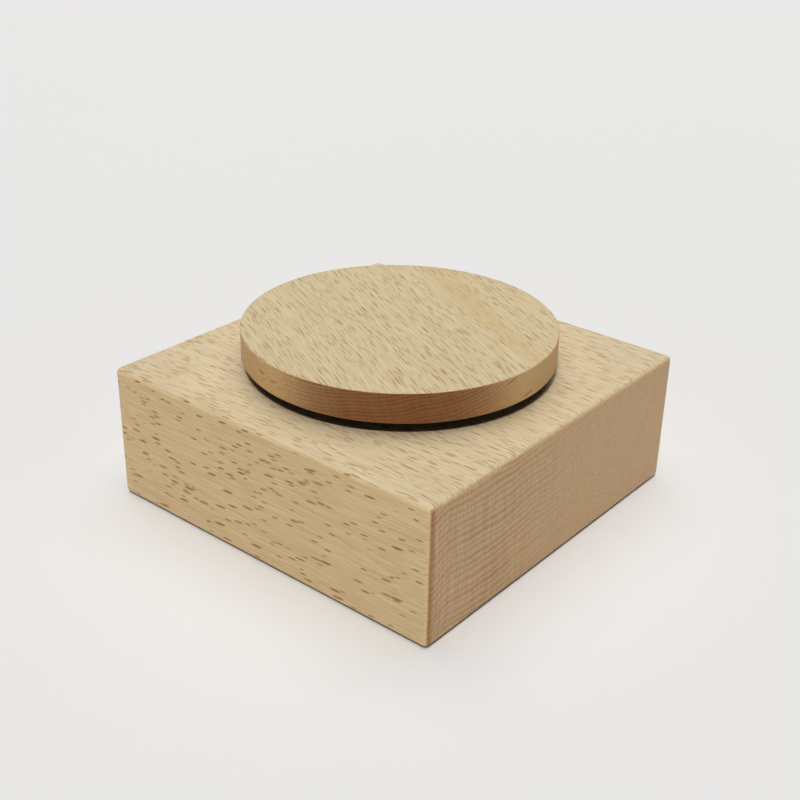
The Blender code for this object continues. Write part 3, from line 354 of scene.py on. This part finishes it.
def add_kinds_of_face(tree, point, lean):
    """Adds the shares of bark side, sawn end and radial side to a point's sockets."""
    bark = vector_maths(tree, "NORMALIZE", point.across)
    bark = vector_maths(tree, "DOT_PRODUCT", point.facing, bark)
    bark = maths(tree, "ABSOLUTE", bark)
    point.bark = remap(tree, bark, *BARK_RANGE, curve="SMOOTHSTEP")
    end = axes(tree, rotated(tree, point.facing, -lean))["X"]
    end = maths(tree, "ABSOLUTE", end)
    point.end = remap(tree, end, *END_RANGE, curve="SMOOTHSTEP")
    point.not_end = maths(tree, "SUBTRACT", 1.0, point.end)
    point.side = maths(tree, "SUBTRACT", point.not_end, point.bark, use_clamp=True)


# %% [markdown]
# ## Beech: grain, rings and rays
#
# These change how light or dark the wood is. Slow streaks and fine fibres run along the
# grain. A growth ring is a thin darker line late in each year, strong on the sawn end only,
# and stronger in some patches than in others. Rays cross the rings there. All of them are
# multiplied into one tone. Plain darkening would turn the wood grey, so at the end each
# colour takes its own power of the tone: blue falls faster than red, and dark wood is brown.

# %% Grain, rings and rays
STREAK_PACE = (0.03, 0.25, 0.25)    # in waves to the mm, like the next paces
STREAK_DEPTH = 0.015
FIBRE_PACE = (0.09, 2.8, 2.8)
FIBRE_DEPTH = 0.16
UNEVEN_YEARS = 1.2                  # how many years a ring can be out of step
UNEVEN_PACE = 0.45                  # in waves to the year
LATE_WOOD = (0.35, 0.88)            # the part of a year in which the wood grows darker
YEAR_END = (0.9, 1.0)               # and the part in which the line ends
RING_ELSEWHERE = 0.03               # depth of the rings away from the sawn end
PATCH_PACE = 0.045
PATCH_LOW = 0.6
RAY_PACE = (1.3, 0.06, 0)           # round the tree, and out from the pith
RAY_DEPTH = 0.08
FADED = 0.15                        # what is left of rings and rays where they have faded
BROWN_POWERS = (0.68, 1.0, 1.36)    # of the tone, for red, green and blue


def ring_lines(tree, point, ring_width):
    """How much each point belongs to the dark line of a year."""
    ring = maths(tree, "DIVIDE", point.out, ring_width)
    uneven = node(tree, "ShaderNodeTexNoise", {"W": ring, "Scale": UNEVEN_PACE, "Detail": 2.0},
                  noise_dimensions="1D").outputs["Fac"]
    ring = maths(tree, "MULTIPLY_ADD", uneven, UNEVEN_YEARS, ring)
    year = maths(tree, "FRACT", ring)
    late = remap(tree, year, *LATE_WOOD, curve="SMOOTHSTEP")
    early = remap(tree, year, *YEAR_END, 1.0, 0.0)
    return maths(tree, "MULTIPLY", late, early)


def grain_factor(tree, point, fibres, ring_width, ring_depth, fade):
    """What red, green and blue are multiplied by at each point."""
    streaks = noise(tree, point.wood, detail=4.0, stretch=STREAK_PACE)
    shade = remap(tree, streaks, *NOISE_RANGE, 1 - STREAK_DEPTH, 1 + STREAK_DEPTH)
    fine = remap(tree, fibres, *NOISE_RANGE, 1 - FIBRE_DEPTH, 1 + FIBRE_DEPTH)
    tone = maths(tree, "MULTIPLY", shade, fine)

    depth = remap(tree, point.end, 0.0, 1.0, RING_ELSEWHERE, ring_depth)
    patches = noise(tree, point.centred, detail=1.0, scale=PATCH_PACE)
    patches = remap(tree, patches, *SMOOTH_RANGE, PATCH_LOW, 1.0)
    depth = maths(tree, "MULTIPLY", depth, patches)
    clear = 1.0
    if fade:
        clear = remap(tree, point.y, *fade, 1.0, FADED)
        depth = maths(tree, "MULTIPLY", depth, clear)
    line = maths(tree, "MULTIPLY", ring_lines(tree, point, ring_width), depth)
    tone = maths(tree, "MULTIPLY", tone, maths(tree, "SUBTRACT", 1.0, line))

    sheet = combined(tree, X=point.around, Y=point.out)
    ray = noise(tree, sheet, detail=1.0, stretch=RAY_PACE)
    ray = remap(tree, ray, *SMOOTH_RANGE, -RAY_DEPTH, RAY_DEPTH)
    ray = maths(tree, "MULTIPLY", ray, clear)
    ray = maths(tree, "MULTIPLY_ADD", ray, point.end, 1.0)
    tone = maths(tree, "MULTIPLY", tone, ray)
    red, green, blue = [maths(tree, "POWER", tone, power) for power in BROWN_POWERS]
    return combined(tree, X=red, Y=green, Z=blue)


# %% [markdown]
# ## Beech: dashes and flecks
#
# Each ray ends in a dash on the bark side, and lies open as a fleck on the radial side. Both
# are drawn in the same way: the wood is divided into long cells, chance leaves some of them
# blank, and each that is kept gets one mark at its middle. The marks differ in size and
# strength, and gather in loose clumps.

# %% Dashes and flecks
MARK_SLANT = 1.4                    # how far cells shift along the trunk on their way out
DASH_DEPTH = 5.5                    # of a dash's cell, out from the pith, in mm
FLECK_CELL = (5.2, 14.0, 1.15)      # along, round and out, in mm
DASH_SHARE = 0.9                    # of the dashes' cells that are filled
DASH_SIZE = 0.46                    # the largest mark, against its cell
FLECK_SIZE = 0.42
DASH_STRENGTH = 0.95
FLECK_STRENGTH = 1.0
CLUMP_PACE = 0.07
CLUMPING = -0.6                     # below 0, because a low limit lets more marks through
SMALLEST = 0.55                     # the smallest mark, against the largest
FAINTEST = 0.7                      # the faintest, against the strongest
CORE = 0.6                          # the part of a mark that is as dark as it gets


def dashes_and_flecks(tree, point, colour, dash, flecks, dash_tone, fleck_tone):
    """A colour with the marks of the rays drawn over it."""
    slanted = maths(tree, "MULTIPLY_ADD", point.out, MARK_SLANT, point.along)
    place = combined(tree, X=slanted, Y=point.around, Z=point.out)
    clump = noise(tree, point.centred, detail=2.0, scale=CLUMP_PACE)
    clump = maths(tree, "SUBTRACT", clump, 0.5)
    kinds = (       # cell in mm, share filled, largest mark, tone, kind of face, strength
        ((*dash, DASH_DEPTH), DASH_SHARE, DASH_SIZE, dash_tone, point.bark, DASH_STRENGTH),
        (FLECK_CELL, flecks, FLECK_SIZE, fleck_tone, point.side, FLECK_STRENGTH),
    )
    for cell, share, largest, tone, face, strength in kinds:
        place_in_cell = vector_maths(tree, "MULTIPLY", place, [1 / length for length in cell])
        cells = node(tree, "ShaderNodeTexVoronoi", {"Vector": place_in_cell, "Scale": 1.0,
                                                    "Randomness": 1.0}).outputs
        chance = axes(tree, cells["Color"])
        limit = maths(tree, "MULTIPLY_ADD", clump, CLUMPING, 1 - share)
        chosen = maths(tree, "GREATER_THAN", chance["X"], limit)
        size = remap(tree, chance["Y"], 0.0, 1.0, largest * SMALLEST, largest)
        core = maths(tree, "MULTIPLY", size, CORE)
        mark = remap(tree, cells["Distance"], core, size, 1.0, 0.0, "SMOOTHSTEP")
        mark = maths(tree, "MULTIPLY", mark, chosen)
        mark = maths(tree, "MULTIPLY", mark, face)
        weight = remap(tree, chance["Z"], 0.0, 1.0, strength * FAINTEST, strength)
        mark = maths(tree, "MULTIPLY", mark, weight)
        colour = blend(tree, mark, colour, tone)
    return colour


# %% [markdown]
# ## Beech: the finish
#
# The parts above are put together here: a plain colour for each kind of face, then grain
# and rings, then marks. Two things are used on single pieces only. A board can have a
# darker growth zone with a wavy edge, and an underside can get painted shade: a near-black
# colour that deepens the shadow in the gap under the piece.
# The wood is finely sanded and has no varnish, so it is mostly diffuse, with a roughness a
# little over a half, and its fibres stand a few hundredths of a millimetre proud.

# %% A beech material, for a board cut anywhere from the tree
BRINK = (-49.5, -47.8)              # the darker edge at the front fades between these, in mm
BRINK_TONE = "#9C6330"
BAND_TONE = "#C9A873"
BAND_PACE = 3.0                     # against the pace at which the grain wanders
BAND_STRENGTH = 0.45
BAND_CORE = 0.3                     # the part of its width where it is full
FACING_DOWN = (-0.93, -0.99)        # z of a surface's direction, from not to quite underneath
BEECH_GLOSS = (0.5, 0.62)           # roughness, between low and high fibres
FIBRE_HEIGHT = 0.03 * MM


def beech(name, turn, pith, ring_width, ring_depth, tones, dash, flecks, lean=0, fade=None,
          band=None, painted_shade_underside=None):
    """Beech whose grain is turned about Z by some degrees, with its pith at (y, z) in mm.

    tones holds the hex colours of the bark side, the radial side, the sawn end, the dashes,
    and the flecks. dash is the (length, width) in mm of the cells that hold dashes, and
    flecks the share of fleck cells that are filled. lean is how far the sawn end's darkest
    spot is turned from the grain. Rings and rays on the sawn end fade between two values
    of y in fade, and at the front they dip into a darker edge. A band is a darker growth
    zone: its (y, width) in mm. The last argument is a near-black colour of painted shade
    for faces that look down, which deepens the shadow in the gap under the piece.
    """
    bark_tone, side_tone, end_tone, dash_tone, fleck_tone = [linear(tone) for tone in tones]
    material, tree, shader = new_material(name, Roughness=0.56, IOR=1.5,
                                          Specular_IOR_Level=0.35)
    point = place_in_tree(tree, turn, pith, dips=bool(fade))
    add_kinds_of_face(tree, point, lean)
    colour = blend(tree, point.bark, side_tone, bark_tone)
    colour = blend(tree, point.end, colour, end_tone)
    if fade:
        brink = remap(tree, point.y, *BRINK, 1.0, 0.0)
        brink = maths(tree, "MULTIPLY", brink, point.end)
        colour = blend(tree, brink, colour, linear(BRINK_TONE))

    fibres = noise(tree, point.wood, detail=2.0, stretch=FIBRE_PACE)
    grain = grain_factor(tree, point, fibres, ring_width, ring_depth, fade)
    colour = vector_maths(tree, "MULTIPLY", colour, grain)
    colour = dashes_and_flecks(tree, point, colour, dash, flecks, dash_tone, fleck_tone)

    if band:
        band_y, width = band
        shift = noise(tree, point.slow, detail=2.0, scale=BAND_PACE)
        shift = remap(tree, shift, 0.0, 1.0, -width, width)
        away = maths(tree, "ADD", point.y, shift)
        away = maths(tree, "SUBTRACT", away, band_y)
        away = maths(tree, "ABSOLUTE", away)
        zone = remap(tree, away, width * BAND_CORE, width, BAND_STRENGTH, 0.0, "SMOOTHSTEP")
        zone = maths(tree, "MULTIPLY", zone, point.not_end)
        colour = blend(tree, zone, colour, linear(BAND_TONE))
    # Painted shade: faces that look down are blended to a near-black colour, so that the gap
    # under the piece looks deeply shaded.
    if painted_shade_underside:
        underside_shade_mask = remap(tree, axes(tree, point.facing)["Z"], *FACING_DOWN)
        colour = blend(tree, underside_shade_mask, colour, linear(painted_shade_underside))

    gloss = remap(tree, fibres, *NOISE_RANGE, *BEECH_GLOSS)
    bump = node(tree, "ShaderNodeBump", {"Height": fibres, "Strength": 0.25,
                                         "Distance": FIBRE_HEIGHT}).outputs[0]
    tree.links.new(colour, shader.inputs["Base Color"])
    tree.links.new(gloss, shader.inputs["Roughness"])
    tree.links.new(bump, shader.inputs["Normal"])
    print(f"{name}: {len(tree.nodes)} nodes")
    return material


# %% [markdown]
# ## Two boards of beech
#
# Block and disc are cut from different boards. The block's pith lies far above it, so its
# rings run nearly level across the sawn end. The disc's grain is turned by 27 degrees, its
# rings are finer and its sawn end is darker, and a darker growth zone crosses its face.

# %% Beech of the block and of the disc
BEECH_CASE = beech("sanded_beech_block", turn=0, pith=(-30, 250),
                   ring_width=1.7, ring_depth=0.36,
                   tones=("#D2BE9A", "#DDC191", "#CFAC80", "#A27F50", "#A56D38"),
                   dash=(5.0, 0.55), flecks=0.74, fade=(-32, 12))
# The disc's underside gets painted shade, a near-black brown, which deepens the shadow in the
# gap between disc and block.
BEECH_DISC = beech("sanded_beech_disc", turn=-27, pith=(-45, 200),
                   ring_width=0.95, ring_depth=0.58,
                   tones=("#CDBA93", "#CFA974", "#885831", "#91703F", "#A56D38"),
                   dash=(6.5, 0.48), flecks=0.4, lean=-24, band=(22, 5), painted_shade_underside="#2E2019")

# %% [markdown]
# ## Finished meshes
#
# Turned pieces could be drawn as a profile and spun, and square ones start from a cube. Both
# are made with mesh operators. Holes are cut with the Boolean modifier, which is then
# applied, so that the finished piece is a plain mesh with its place in its vertices. Edges
# sharper than 30 degrees stay crisp, and the rest is shaded smoothly.

# %% Finish a mesh, and let it stand for measured nodes
ROUNDING_STEPS = 10
CREASE = math.radians(30)


def settled(name, bm, cutters=(), rounding=None):
    """A finished mesh object: its edges rounded, its holes cut and its shading crisp."""
    mesh = bpy.data.meshes.new(name)
    bm.to_mesh(mesh)
    bm.free()
    piece = bpy.data.objects.new(name, mesh)
    bpy.context.collection.objects.link(piece)
    if rounding:
        bevel = piece.modifiers.new("rounding", "BEVEL")
        bevel.limit_method = "WEIGHT"
        bevel.width = rounding
        bevel.segments = ROUNDING_STEPS
    helpers = []
    for shape in cutters:
        cutter_mesh = bpy.data.meshes.new("cutter")
        shape.to_mesh(cutter_mesh)
        shape.free()
        cutter = bpy.data.objects.new("cutter", cutter_mesh)
        bpy.context.collection.objects.link(cutter)
        boolean = piece.modifiers.new("hole", "BOOLEAN")
        boolean.operation = "DIFFERENCE"
        boolean.solver = "EXACT"
        boolean.object = cutter
        helpers.append(cutter)
    graph = bpy.context.evaluated_depsgraph_get()
    final = bpy.data.meshes.new_from_object(piece.evaluated_get(graph))
    piece.modifiers.clear()
    piece.data = final
    final.name = name
    bpy.data.meshes.remove(mesh)
    for cutter in helpers:
        bpy.data.objects.remove(cutter, do_unlink=True)
    final.shade_smooth()
    final.set_sharp_from_angle(angle=CREASE)
    weigh = piece.modifiers.new("flat_faces_stay_flat", "WEIGHTED_NORMAL")
    weigh.keep_sharp = True
    return piece


def shown(piece, body, slot, material, *nodes):
    """A new piece stands for measured nodes, rides on their body, and gets its finish."""
    piece.data.materials.clear()
    piece.data.materials.append(material)
    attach(piece, body)
    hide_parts(*nodes)
    print(f"{piece.name}: {len(piece.data.polygons)} faces")


# %% [markdown]
# ## Basic shapes
#
# Three shapes are enough, for pieces and for what cuts them: a cylinder or cone, a block,
# and a block whose upright edges are rounded. A rim is the ring of edges that lie level at
# one height, and a bevel in a few steps makes it round.

# %% Helpers for shapes
NEARLY = MM / 100                   # closer than this counts as level


def cylinder(radius, low, high, at=(0, 0), sides=96, narrow=None):
    """An upright cylinder, or a cone with another radius at its top."""
    bm = bmesh.new()
    spot = Matrix.Translation((at[0], at[1], (low + high) / 2))
    bmesh.ops.create_cone(bm, cap_ends=True, segments=sides, radius1=radius,
                          radius2=radius if narrow is None else narrow, depth=high - low,
                          matrix=spot)
    return bm


def block(size, centre):
    """A block of some size about its centre."""
    bm = bmesh.new()
    bmesh.ops.create_cube(bm, size=1)
    bmesh.ops.scale(bm, verts=bm.verts, vec=size)
    bmesh.ops.translate(bm, verts=bm.verts, vec=centre)
    return bm


def rounded_block(half, low, high, corner):
    """A square block about the Z axis whose upright edges are rounded."""
    bm = block((2 * half, 2 * half, high - low), (0, 0, (low + high) / 2))
    upright = [e for e in bm.edges if abs(e.verts[0].co.z - e.verts[1].co.z) > MM]
    bmesh.ops.bevel(bm, geom=upright, offset=corner, segments=12, profile=0.5,
                    affect="EDGES", material=-1)
    return bm


def soften(bm, heights, size, segments=4):
    """Rounds the rims at the given heights."""
    for height in heights:
        rim = [e for e in bm.edges if all(abs(v.co.z - height) < NEARLY for v in e.verts)]
        bmesh.ops.bevel(bm, geom=rim, offset=size, segments=segments, profile=0.5,
                        affect="EDGES", material=-1)


def middle(name):
    """The middle of a measured node."""
    low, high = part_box(name)
    return (low + high) / 2


def half_width(name):
    """Half the width of a measured node, which is the radius of a round one."""
    low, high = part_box(name)
    return (high.x - low.x) / 2


# %% [markdown]
# ## The block
#
# The case is one block of beech, sanded round its top edges by about a millimetre and a
# half, a little less up its corners and least along its foot. A bevel in mesh code would
# meet badly where three different rounds join, so each edge gets a weight and one Bevel
# modifier rounds them all together.

# %% Edges of the case
TOP_ROUND = 1.4 * MM
UPRIGHT_ROUND = 1.3 * MM
FOOT_ROUND = 1.0 * MM

low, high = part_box("case_body")
bm = block(high - low, (low + high) / 2)
weights = bm.edges.layers.float.new("bevel_weight_edge")
for edge in bm.edges:
    ends = sorted(v.co.z for v in edge.verts)
    size = UPRIGHT_ROUND
    if ends[1] - ends[0] < MM:
        size = TOP_ROUND if ends[0] > (low.z + high.z) / 2 else FOOT_ROUND
    edge[weights] = size / TOP_ROUND
print(f"case: {len(bm.edges)} edges weighted")

# %% [markdown]
# The pocket for the movement, the rebate for the board and the holes are cut from the block
# in their measured places. The pocket's corners are wide because a router bit cuts them. A
# cutter reaches a little past the face that it opens, so that no thin skin is left.

# %% Holes of the case
SEAT = 0.3 * MM                     # room round a piece that is seated in wood
PAST = 1.0 * MM                     # how far a cutter reaches past its face
LEDGE = 2.5 * MM                    # the step round the pocket that carries the board
POCKET_CORNER = 16 * MM
REBATE_CORNER = 3 * MM
HEAD_RECESS = 2.2 * MM              # how deep the heads of the mounting screws are let in

board_low, board_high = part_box("bottom_board")
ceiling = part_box("bedplate")[1].z + SEAT
rebate_half = board_high.x + SEAT
cutters = [
    rounded_block(rebate_half - LEDGE, 0, ceiling, POCKET_CORNER),
    rounded_block(rebate_half, 0, board_high.z + SEAT, REBATE_CORNER),
    cylinder(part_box("arbor_bush")[1].x + SEAT, ceiling - PAST, high.z + PAST),
]
for number in range(1, 4):
    screw = f"mounting_screw_{number}"
    head = half_width(screw)
    cutters.append(cylinder(head / 2 + SEAT, ceiling - PAST, high.z + PAST, middle(screw),
                            sides=48))
    cutters.append(cylinder(head + SEAT, high.z - HEAD_RECESS, high.z + PAST, middle(screw),
                            sides=64))
case = settled("case_block", bm, cutters, rounding=TOP_ROUND)
shown(case, "case", "beech_case", BEECH_CASE, "case_body")

# %% [markdown]
# ## The disc
#
# The disc is turned, with a flat face and a straight rim. Its two edges are only broken with
# sandpaper, which leaves a round of a third of a millimetre that catches the light as a
# thin bright line. A cylinder with many sides has that shape once its rims are bevelled.
# Three small holes underneath take the screws of its flange.

# %% Disc
DISC_EDGE = 0.35 * MM
PILOT_RADIUS = 1.2 * MM
PILOT_DEPTH = 5 * MM

disc_low, disc_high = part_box("turntable_disc")
bm = cylinder(disc_high.x, disc_low.z, disc_high.z, sides=256)
soften(bm, (disc_low.z, disc_high.z), DISC_EDGE)
pilots = [cylinder(PILOT_RADIUS, disc_low.z - PAST, disc_low.z + PILOT_DEPTH,
                   middle(f"flange_screw_{number}"), sides=32) for number in range(1, 4)]
disc = settled("turning_disc", bm, pilots)
shown(disc, "turntable", "beech_disc", BEECH_DISC, "turntable_disc")

# %% [markdown]
# ## Plywood, foam and moulded plastic
#
# These share one recipe: two tones that follow a noise, with a bump and a gloss that follow
# the same noise, so that tone, height and dullness change together. A single flat colour
# would be quicker, but it looks like paint up close. The sizes of the noise along x, y and z
# make it a grain, a foam or a smooth skin.

# %% Finishes that are not metal
GLOSS_SPREAD = 0.08                 # how far the roughness goes up and down


def plain(name, tones, roughness, grain, bump, specular=0.5):
    """A finish of two tones and a bump, patterned by grain sizes in mm."""
    material, tree, shader = new_material(name, Roughness=roughness,
                                          Specular_IOR_Level=specular)
    place = node(tree, "ShaderNodeTexCoord").outputs["Object"]
    marks = noise(tree, place, detail=4.0, stretch=[1 / (size * MM) for size in grain])
    share = remap(tree, marks, *NOISE_RANGE)
    colour = blend(tree, share, linear(tones[0]), linear(tones[1]))
    gloss = remap(tree, marks, 0.0, 1.0, roughness - GLOSS_SPREAD, roughness + GLOSS_SPREAD)
    height = node(tree, "ShaderNodeBump", {"Height": marks, "Strength": 0.4,
                                           "Distance": bump * MM}).outputs[0]
    tree.links.new(colour, shader.inputs["Base Color"])
    tree.links.new(gloss, shader.inputs["Roughness"])
    tree.links.new(height, shader.inputs["Normal"])
    print(f"{name}: {len(tree.nodes)} nodes")
    return material, tree, shader


# Birch veneer, sliced round the log: pale, silky, with grain along the board's length
PLYWOOD, tree, shader = plain("birch_plywood", ("#DCC59C", "#CDB284"), 0.6, (14, 0.7, 4),
                              0.03, 0.3)
# Cut foam sheet: black, dull, its cells a third of a millimetre across
FOAM = plain("black_cell_foam", ("#26272A", "#1B1C1E"), 0.85, (0.35, 0.35, 0.35), 0.08, 0.3)[0]
# Nylon from a mould: milky white with a soft shine
NYLON = plain("moulded_nylon", ("#ECE8DC", "#E2DDCF"), 0.42, (1.5, 1.5, 1.5), 0.01)[0]

# %% [markdown]
# Plywood shows its sheets at the edge: the middle one lies crosswise, so it turns its darker
# sawn end outwards. Three modelled sheets would leave seams between them. Instead the finish
# asks how high a point lies, and whether its surface looks sideways.

# %% Sheets at the edge of the plywood
SHEET_TONE = "#A07C50"
HALF_SHEET = 0.5 * MM
SIDEWAYS = (0.3, 0.7)               # z of a surface's direction, from quite to not sideways

coords = node(tree, "ShaderNodeTexCoord").outputs
edge = maths(tree, "ABSOLUTE", axes(tree, coords["Normal"])["Z"])
edge = remap(tree, edge, *SIDEWAYS, 1.0, 0.0)
height = axes(tree, coords["Object"])["Z"]
sheet = maths(tree, "COMPARE", height, middle("bottom_board").z, HALF_SHEET)
sheet = maths(tree, "MULTIPLY", sheet, edge)
face = shader.inputs["Base Color"].links[0].from_socket
layers = blend(tree, sheet, face, linear(SHEET_TONE))
tree.links.new(layers, shader.inputs["Base Color"])
print(f"{PLYWOOD.name}: {len(tree.nodes)} nodes with its sheets")

# %% [markdown]
# ## Metals
#
# A metal is the same recipe with the shader's Metallic turned up: its tones then tint what
# it mirrors. Turned and rolled parts have marks along one axis, and cast or plated ones have
# the same grain all ways. The marks of a real tool are too fine to see from this distance,
# so they are drawn coarser.

# %% Metals
def metal(name, tones, roughness, grain, bump=0.01):
    """A metal whose two tones and polish follow marks of grain sizes in mm."""
    material, tree, shader = plain(name, tones, roughness, grain, bump)
    shader.inputs["Metallic"].default_value = 1.0
    return material


# Steel from the lathe or the press, bare: cool grey
STEEL = metal("bright_pressed_steel", ("#B9BABA", "#A2A4A6"), 0.32, (0.5, 0.5, 3))
# Steel strip, hardened and tempered until its skin turns blue
SPRING_STEEL = metal("blued_spring_steel", ("#66707F", "#4A5364"), 0.3, (3, 3, 0.3))
# Screws, plated with zinc: a bluish bloom
SCREW_STEEL = metal("zinc_plated_steel", ("#C6C9CC", "#B2B6BA"), 0.36, (0.8, 0.8, 0.8))
# Brass, turned and left bare: warm yellow, duller where it has been touched
BRASS = metal("turned_brass", ("#D9B96B", "#C4A054"), 0.3, (0.6, 0.6, 2))
# Zinc alloy, cast under pressure and tumbled: a soft grey with a fine pebbled skin
ZINC = metal("cast_zinc_alloy", ("#B5B6B4", "#9FA19F"), 0.5, (0.7, 0.7, 0.7), 0.03)

# %% [markdown]
# ## The board
#
# A board of birch plywood, three sheets thick, closes the pocket from below. It could be left
# as a plain slab, but its broken edge and its countersinks are what the eye finds there. Each
# screw gets a cone for its head and a hole for its shank.

# %% Board
BOARD_CORNER = 2.7 * MM
BOARD_EDGE = 0.3 * MM
SINK_EXTRA = 0.6 * MM               # a countersink starts this far outside, and as much wider
SINK_DEPTH = 1.4 * MM
SINK_OVERLAP = 0.1 * MM             # how far the shank's hole reaches into the cone
SHANK_HOLE = 1.55 * MM

board = rounded_block(board_high.x, board_low.z, board_high.z, BOARD_CORNER)
soften(board, (board_low.z,), BOARD_EDGE, segments=3)
cutters = []
for number in range(1, 5):
    screw = f"board_screw_{number}"
    cutters.append(cylinder(half_width(screw) + SINK_EXTRA, board_low.z - SINK_EXTRA,
                            board_low.z + SINK_DEPTH, middle(screw), sides=48,
                            narrow=SHANK_HOLE))
    cutters.append(cylinder(SHANK_HOLE, board_low.z + SINK_DEPTH - SINK_OVERLAP,
                            board_high.z + PAST, middle(screw), sides=48))
board = settled("plywood_board", board, cutters)
shown(board, "case", "plywood", PLYWOOD, "bottom_board")

# %% [markdown]
# ## The board's screws
#
# A wood screw has a countersunk head, a cross in it, and a coarse thread. The screws keep
# their measured length and width. Each is turned by spinning a profile about its axis, so
# its thread is a row of rings: a true spiral would look the same at this size and take many
# more faces. The cross is cut afterwards. The left pair is turned another way than the
# right, as if driven home by hand.

# %% Board screws
SHANK = 1.2 * MM
ROOT = 0.74                         # of the thread, against the shank
CREST = 0.98
NECK = 0.7                          # where the tip starts
HEAD_DEPTH = 1.35 * MM
HEAD_EDGE = (0.15 * MM, 0.12 * MM)  # width and height of the head's broken edge
THREAD_PITCH = 1.0 * MM
THREAD_RISE = 0.3 * MM              # from the root of the thread to its crest
NO_THREAD = 2.2 * MM                # left plain at both ends
TIP = 2 * MM
CROSS_LONG = 2.4 * MM
CROSS_WIDE = 0.5 * MM
CROSS_TALL = 2 * MM                 # half of it lies in the head
CROSS_TAPER = 0.45
CROSS_ANGLE = 20                    # in degrees, about which the two pairs differ by
CROSS_SPREAD = 37                   # this much each way


def screw_profile(head, length):
    """Points (distance from the axis, height) from the middle of the head to the tip."""
    profile = [(0, 0), (head - HEAD_EDGE[0], 0), (head, HEAD_EDGE[1]), (SHANK, HEAD_DEPTH)]
    height = NO_THREAD
    while height < length - NO_THREAD:
        profile += [(SHANK * ROOT, height), (SHANK * CREST, height + THREAD_RISE),
                    (SHANK * ROOT, height + 2 * THREAD_RISE)]
        height += THREAD_PITCH
    return profile + [(SHANK * NECK, length - TIP), (0, length)]


def cross_arm(wide_x, wide_y, angle, spot):
    """One arm of the cross, narrower at its bottom in the head."""
    arm = block((wide_x, wide_y, CROSS_TALL), (0, 0, 0))
    bottom = [v for v in arm.verts if v.co.z > 0]
    bmesh.ops.scale(arm, verts=bottom, vec=(CROSS_TAPER, CROSS_TAPER, 1))
    bmesh.ops.rotate(arm, verts=arm.verts, cent=(0, 0, 0),
                     matrix=Matrix.Rotation(math.radians(angle), 3, "Z"))
    bmesh.ops.translate(arm, verts=arm.verts, vec=spot)
    return arm


def wood_screw(name, node_name):
    """A countersunk wood screw, head down, in the place of a measured one."""
    screw_low, screw_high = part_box(node_name)
    spot = middle(node_name)
    base = (spot.x, spot.y, screw_low.z)
    profile = screw_profile(half_width(node_name), screw_high.z - screw_low.z)
    bm = bmesh.new()
    points = [bm.verts.new((x, 0, z)) for x, z in profile]
    edges = [bm.edges.new(pair) for pair in zip(points, points[1:])]
    bmesh.ops.spin(bm, geom=points + edges, cent=(0, 0, 0), axis=(0, 0, 1), angle=math.tau,
                   steps=32, use_merge=True)
    bmesh.ops.remove_doubles(bm, verts=bm.verts, dist=MM / 1000)
    bmesh.ops.recalc_face_normals(bm, faces=bm.faces)
    bmesh.ops.translate(bm, verts=bm.verts, vec=base)
    angle = CROSS_ANGLE + math.copysign(CROSS_SPREAD, spot.x)
    cutters = [cross_arm(CROSS_LONG, CROSS_WIDE, angle, base),
               cross_arm(CROSS_WIDE, CROSS_LONG, angle, base)]
    screw = settled(name, bm, cutters)
    shown(screw, "case", "steel", SCREW_STEEL, node_name)


for number in range(1, 5):
    wood_screw(f"countersunk_screw_{number}", f"board_screw_{number}")

# %% [markdown]
# ## The feet
#
# The feet are punched from foam sheet, and wear rounds their lower edge. They are the only
# soft pieces, foam all through, and each gets the foam finish.

# %% Feet
FOOT_EDGE = 0.25 * MM

for number in range(1, 5):
    pad = f"foot_pad_{number}"
    bm = cylinder(half_width(pad), 0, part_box(pad)[1].z, middle(pad), sides=64)
    soften(bm, (0,), FOOT_EDGE)
    foot = settled(f"foam_foot_{number}", bm)
    shown(foot, "case", "foam", FOAM, pad)

# %% [markdown]
# ## The movement
#
# Everything inside the pocket was measured as separate pieces, with their real teeth, pins
# and screws, so their shapes stay as they are. Only their finish changes. A finish is given
# to each by the name of the plain colour that it came with.

# %% Finishes of the movement
FINISHES = {"steel": STEEL, "spring_steel": SPRING_STEEL, "brass": BRASS, "zinc": ZINC,
            "nylon": NYLON, "beech_case": BEECH_CASE, "beech_disc": BEECH_DISC,
            "plywood": PLYWOOD, "foam": FOAM}
count = 0
for name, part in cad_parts.items():
    for place in part.material_slots:
        finish = FINISHES[place.material.name.split(".")[0]]
        if "_screw" in name and finish == STEEL:
            finish = SCREW_STEEL
        place.link = "OBJECT"
        place.material = finish
        count += 1
print(f"finished {count} measured pieces")
